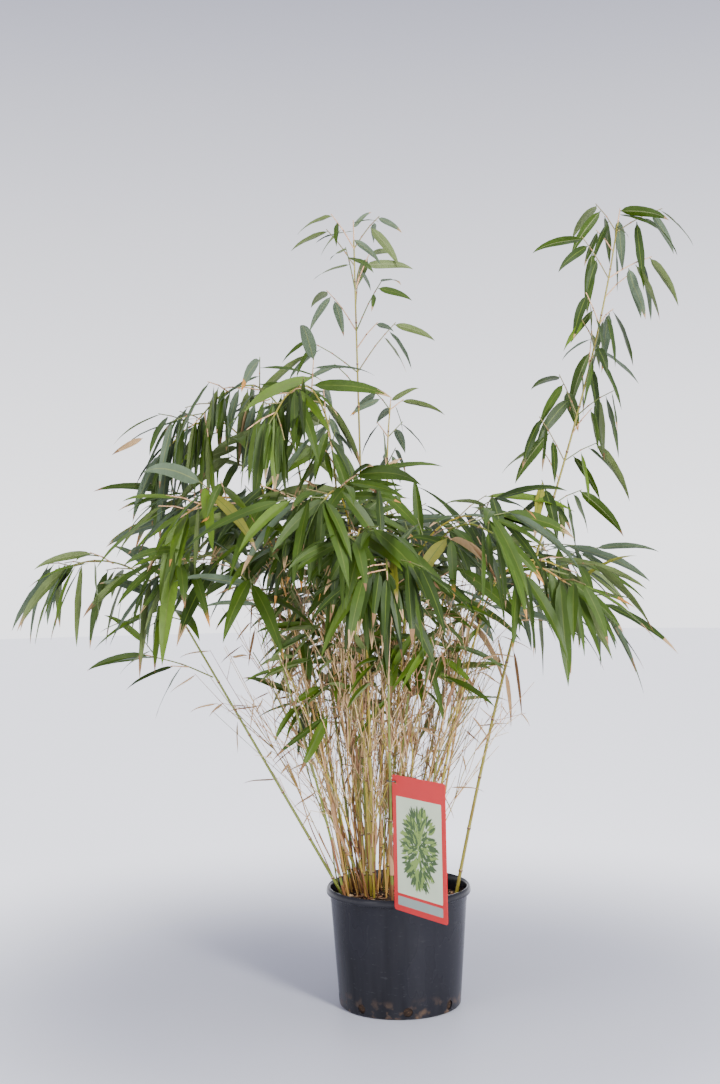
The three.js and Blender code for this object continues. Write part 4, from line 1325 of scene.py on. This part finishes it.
ring_reach = CARD_REACH + hold_radius + RING_GAP + RING_WIRE
ring_form = bmesh.new()
bmesh.ops.create_circle(ring_form, cap_ends=False, segments=12, radius=RING_WIRE, matrix=(
    Matrix.Translation((ring_reach / 2, 0, 0)) @ Matrix.Rotation(math.pi / 2, 4, "X")))
ring_centre = hole_centre - CARD_ACROSS * ring_reach / 2
ring_place = Matrix.Translation((ring_centre.x, ring_centre.y, CARD_HANG + RING_RISE))
spun(ring_form, RING_STEPS).transform(ring_place)
ring_finish = plain_finish("ring_plastic", (0.05, 0.05, 0.05), 0.4)[0]
label_ring = placed(ring_form, "label_ring_wire", [ring_finish])
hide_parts("label_ring")


# Floor, light and camera
# A pale glossy floor runs out of sight all round, under soft light from the front right. Further from
# the pot its colour is painted paler and it glows with a painted light, so that its far part stands in
# for a brightly lit wall; near the pot it is darker. The camera stands level, a little over two metres
# in front of the plant.
FLOOR_RADIUS = 9
PAINTED_LIGHT_REACH = (0.35, 1.2)
FLOOR_PAINTED_GLOW = 1.3
ROOM_GLOW = 2.3
LIGHT_AIM = Vector((0, 0, 0.5))
CAMERA_PLACE = (-0.047, -2.14, 0.654)
CAMERA_TURN = (90, 0.9, 0)
floor_form = bmesh.new()
bmesh.ops.create_circle(floor_form, cap_ends=True, segments=96, radius=FLOOR_RADIUS)
floor = linked("floor", mesh_of(floor_form, "floor"))
floor_material, floor_tree, floor_shader = plain_finish("floor_pale_painted_glow", (0.6, 0.61, 0.64), 0.45, 0.3)
floor_place = add_node(floor_tree, "ShaderNodeTexCoord").outputs["Object"]
from_pot = add_node(floor_tree, "ShaderNodeVectorMath", {0: floor_place}, operation="LENGTH")
# Painted light: further from the pot the floor's colour is painted paler and it is given a glow, standing in
# for a lit wall
painted_light_far_off = add_node(floor_tree, "ShaderNodeMapRange", {
    "Value": from_pot.outputs["Value"], "From Min": PAINTED_LIGHT_REACH[0], "From Max": PAINTED_LIGHT_REACH[1],
}, interpolation_type="SMOOTHSTEP")
for socket, near, far in (("Base Color", (0.63, 0.64, 0.7), (0.8, 0.8, 0.83)),
                          ("Emission Color", (0, 0, 0), (1, 1.01, 1.06))):
    floor_tree.links.new(mixed(floor_tree, painted_light_far_off.outputs[0], near, far), floor_shader.inputs[socket])
# The floor's painted glow: it gives off light though it is no lamp
floor_shader.inputs["Emission Strength"].default_value = FLOOR_PAINTED_GLOW
floor.data.materials.append(floor_material)

world = bpy.data.worlds.new("pale_room")
bpy.context.scene.world = world
world.use_nodes = True
room = world.node_tree
gaze = add_node(room, "ShaderNodeTexCoord")
level = add_node(room, "ShaderNodeSeparateXYZ", {0: gaze.outputs["Generated"]}).outputs[2]
rise = add_node(room, "ShaderNodeMapRange", {"Value": level, "From Min": 0, "From Max": 0.4}).outputs[0]
background = room.nodes["Background"]
room.links.new(mixed(room, rise, (1, 1, 1.05), (0.2, 0.205, 0.28)), background.inputs["Color"])
background.inputs["Strength"].default_value = ROOM_GLOW


def soft_light(name, place, width, height, power):
    lamp = bpy.data.lights.new(name, "AREA")
    lamp.shape = "RECTANGLE"
    lamp.size, lamp.size_y = width, height
    lamp.energy = power
    light = linked(name, lamp)
    light.location = place
    light.rotation_euler = (LIGHT_AIM - Vector(place)).to_track_quat("-Z", "Y").to_euler()


soft_light("key", (1.05, -1.8, 1.25), 0.35, 1.7, 72)
soft_light("fill", (-1.7, -1.6, 1.1), 0.6, 1.4, 15)
soft_light("above", (0.3, -0.4, 2.6), 1.4, 1.4, 30)

view = bpy.data.cameras.new("view")
view.lens = 50
view.sensor_width = 36
camera = linked("view", view)
camera.location = CAMERA_PLACE
camera.rotation_euler = [math.radians(turn) for turn in CAMERA_TURN]
bpy.context.scene.camera = camera
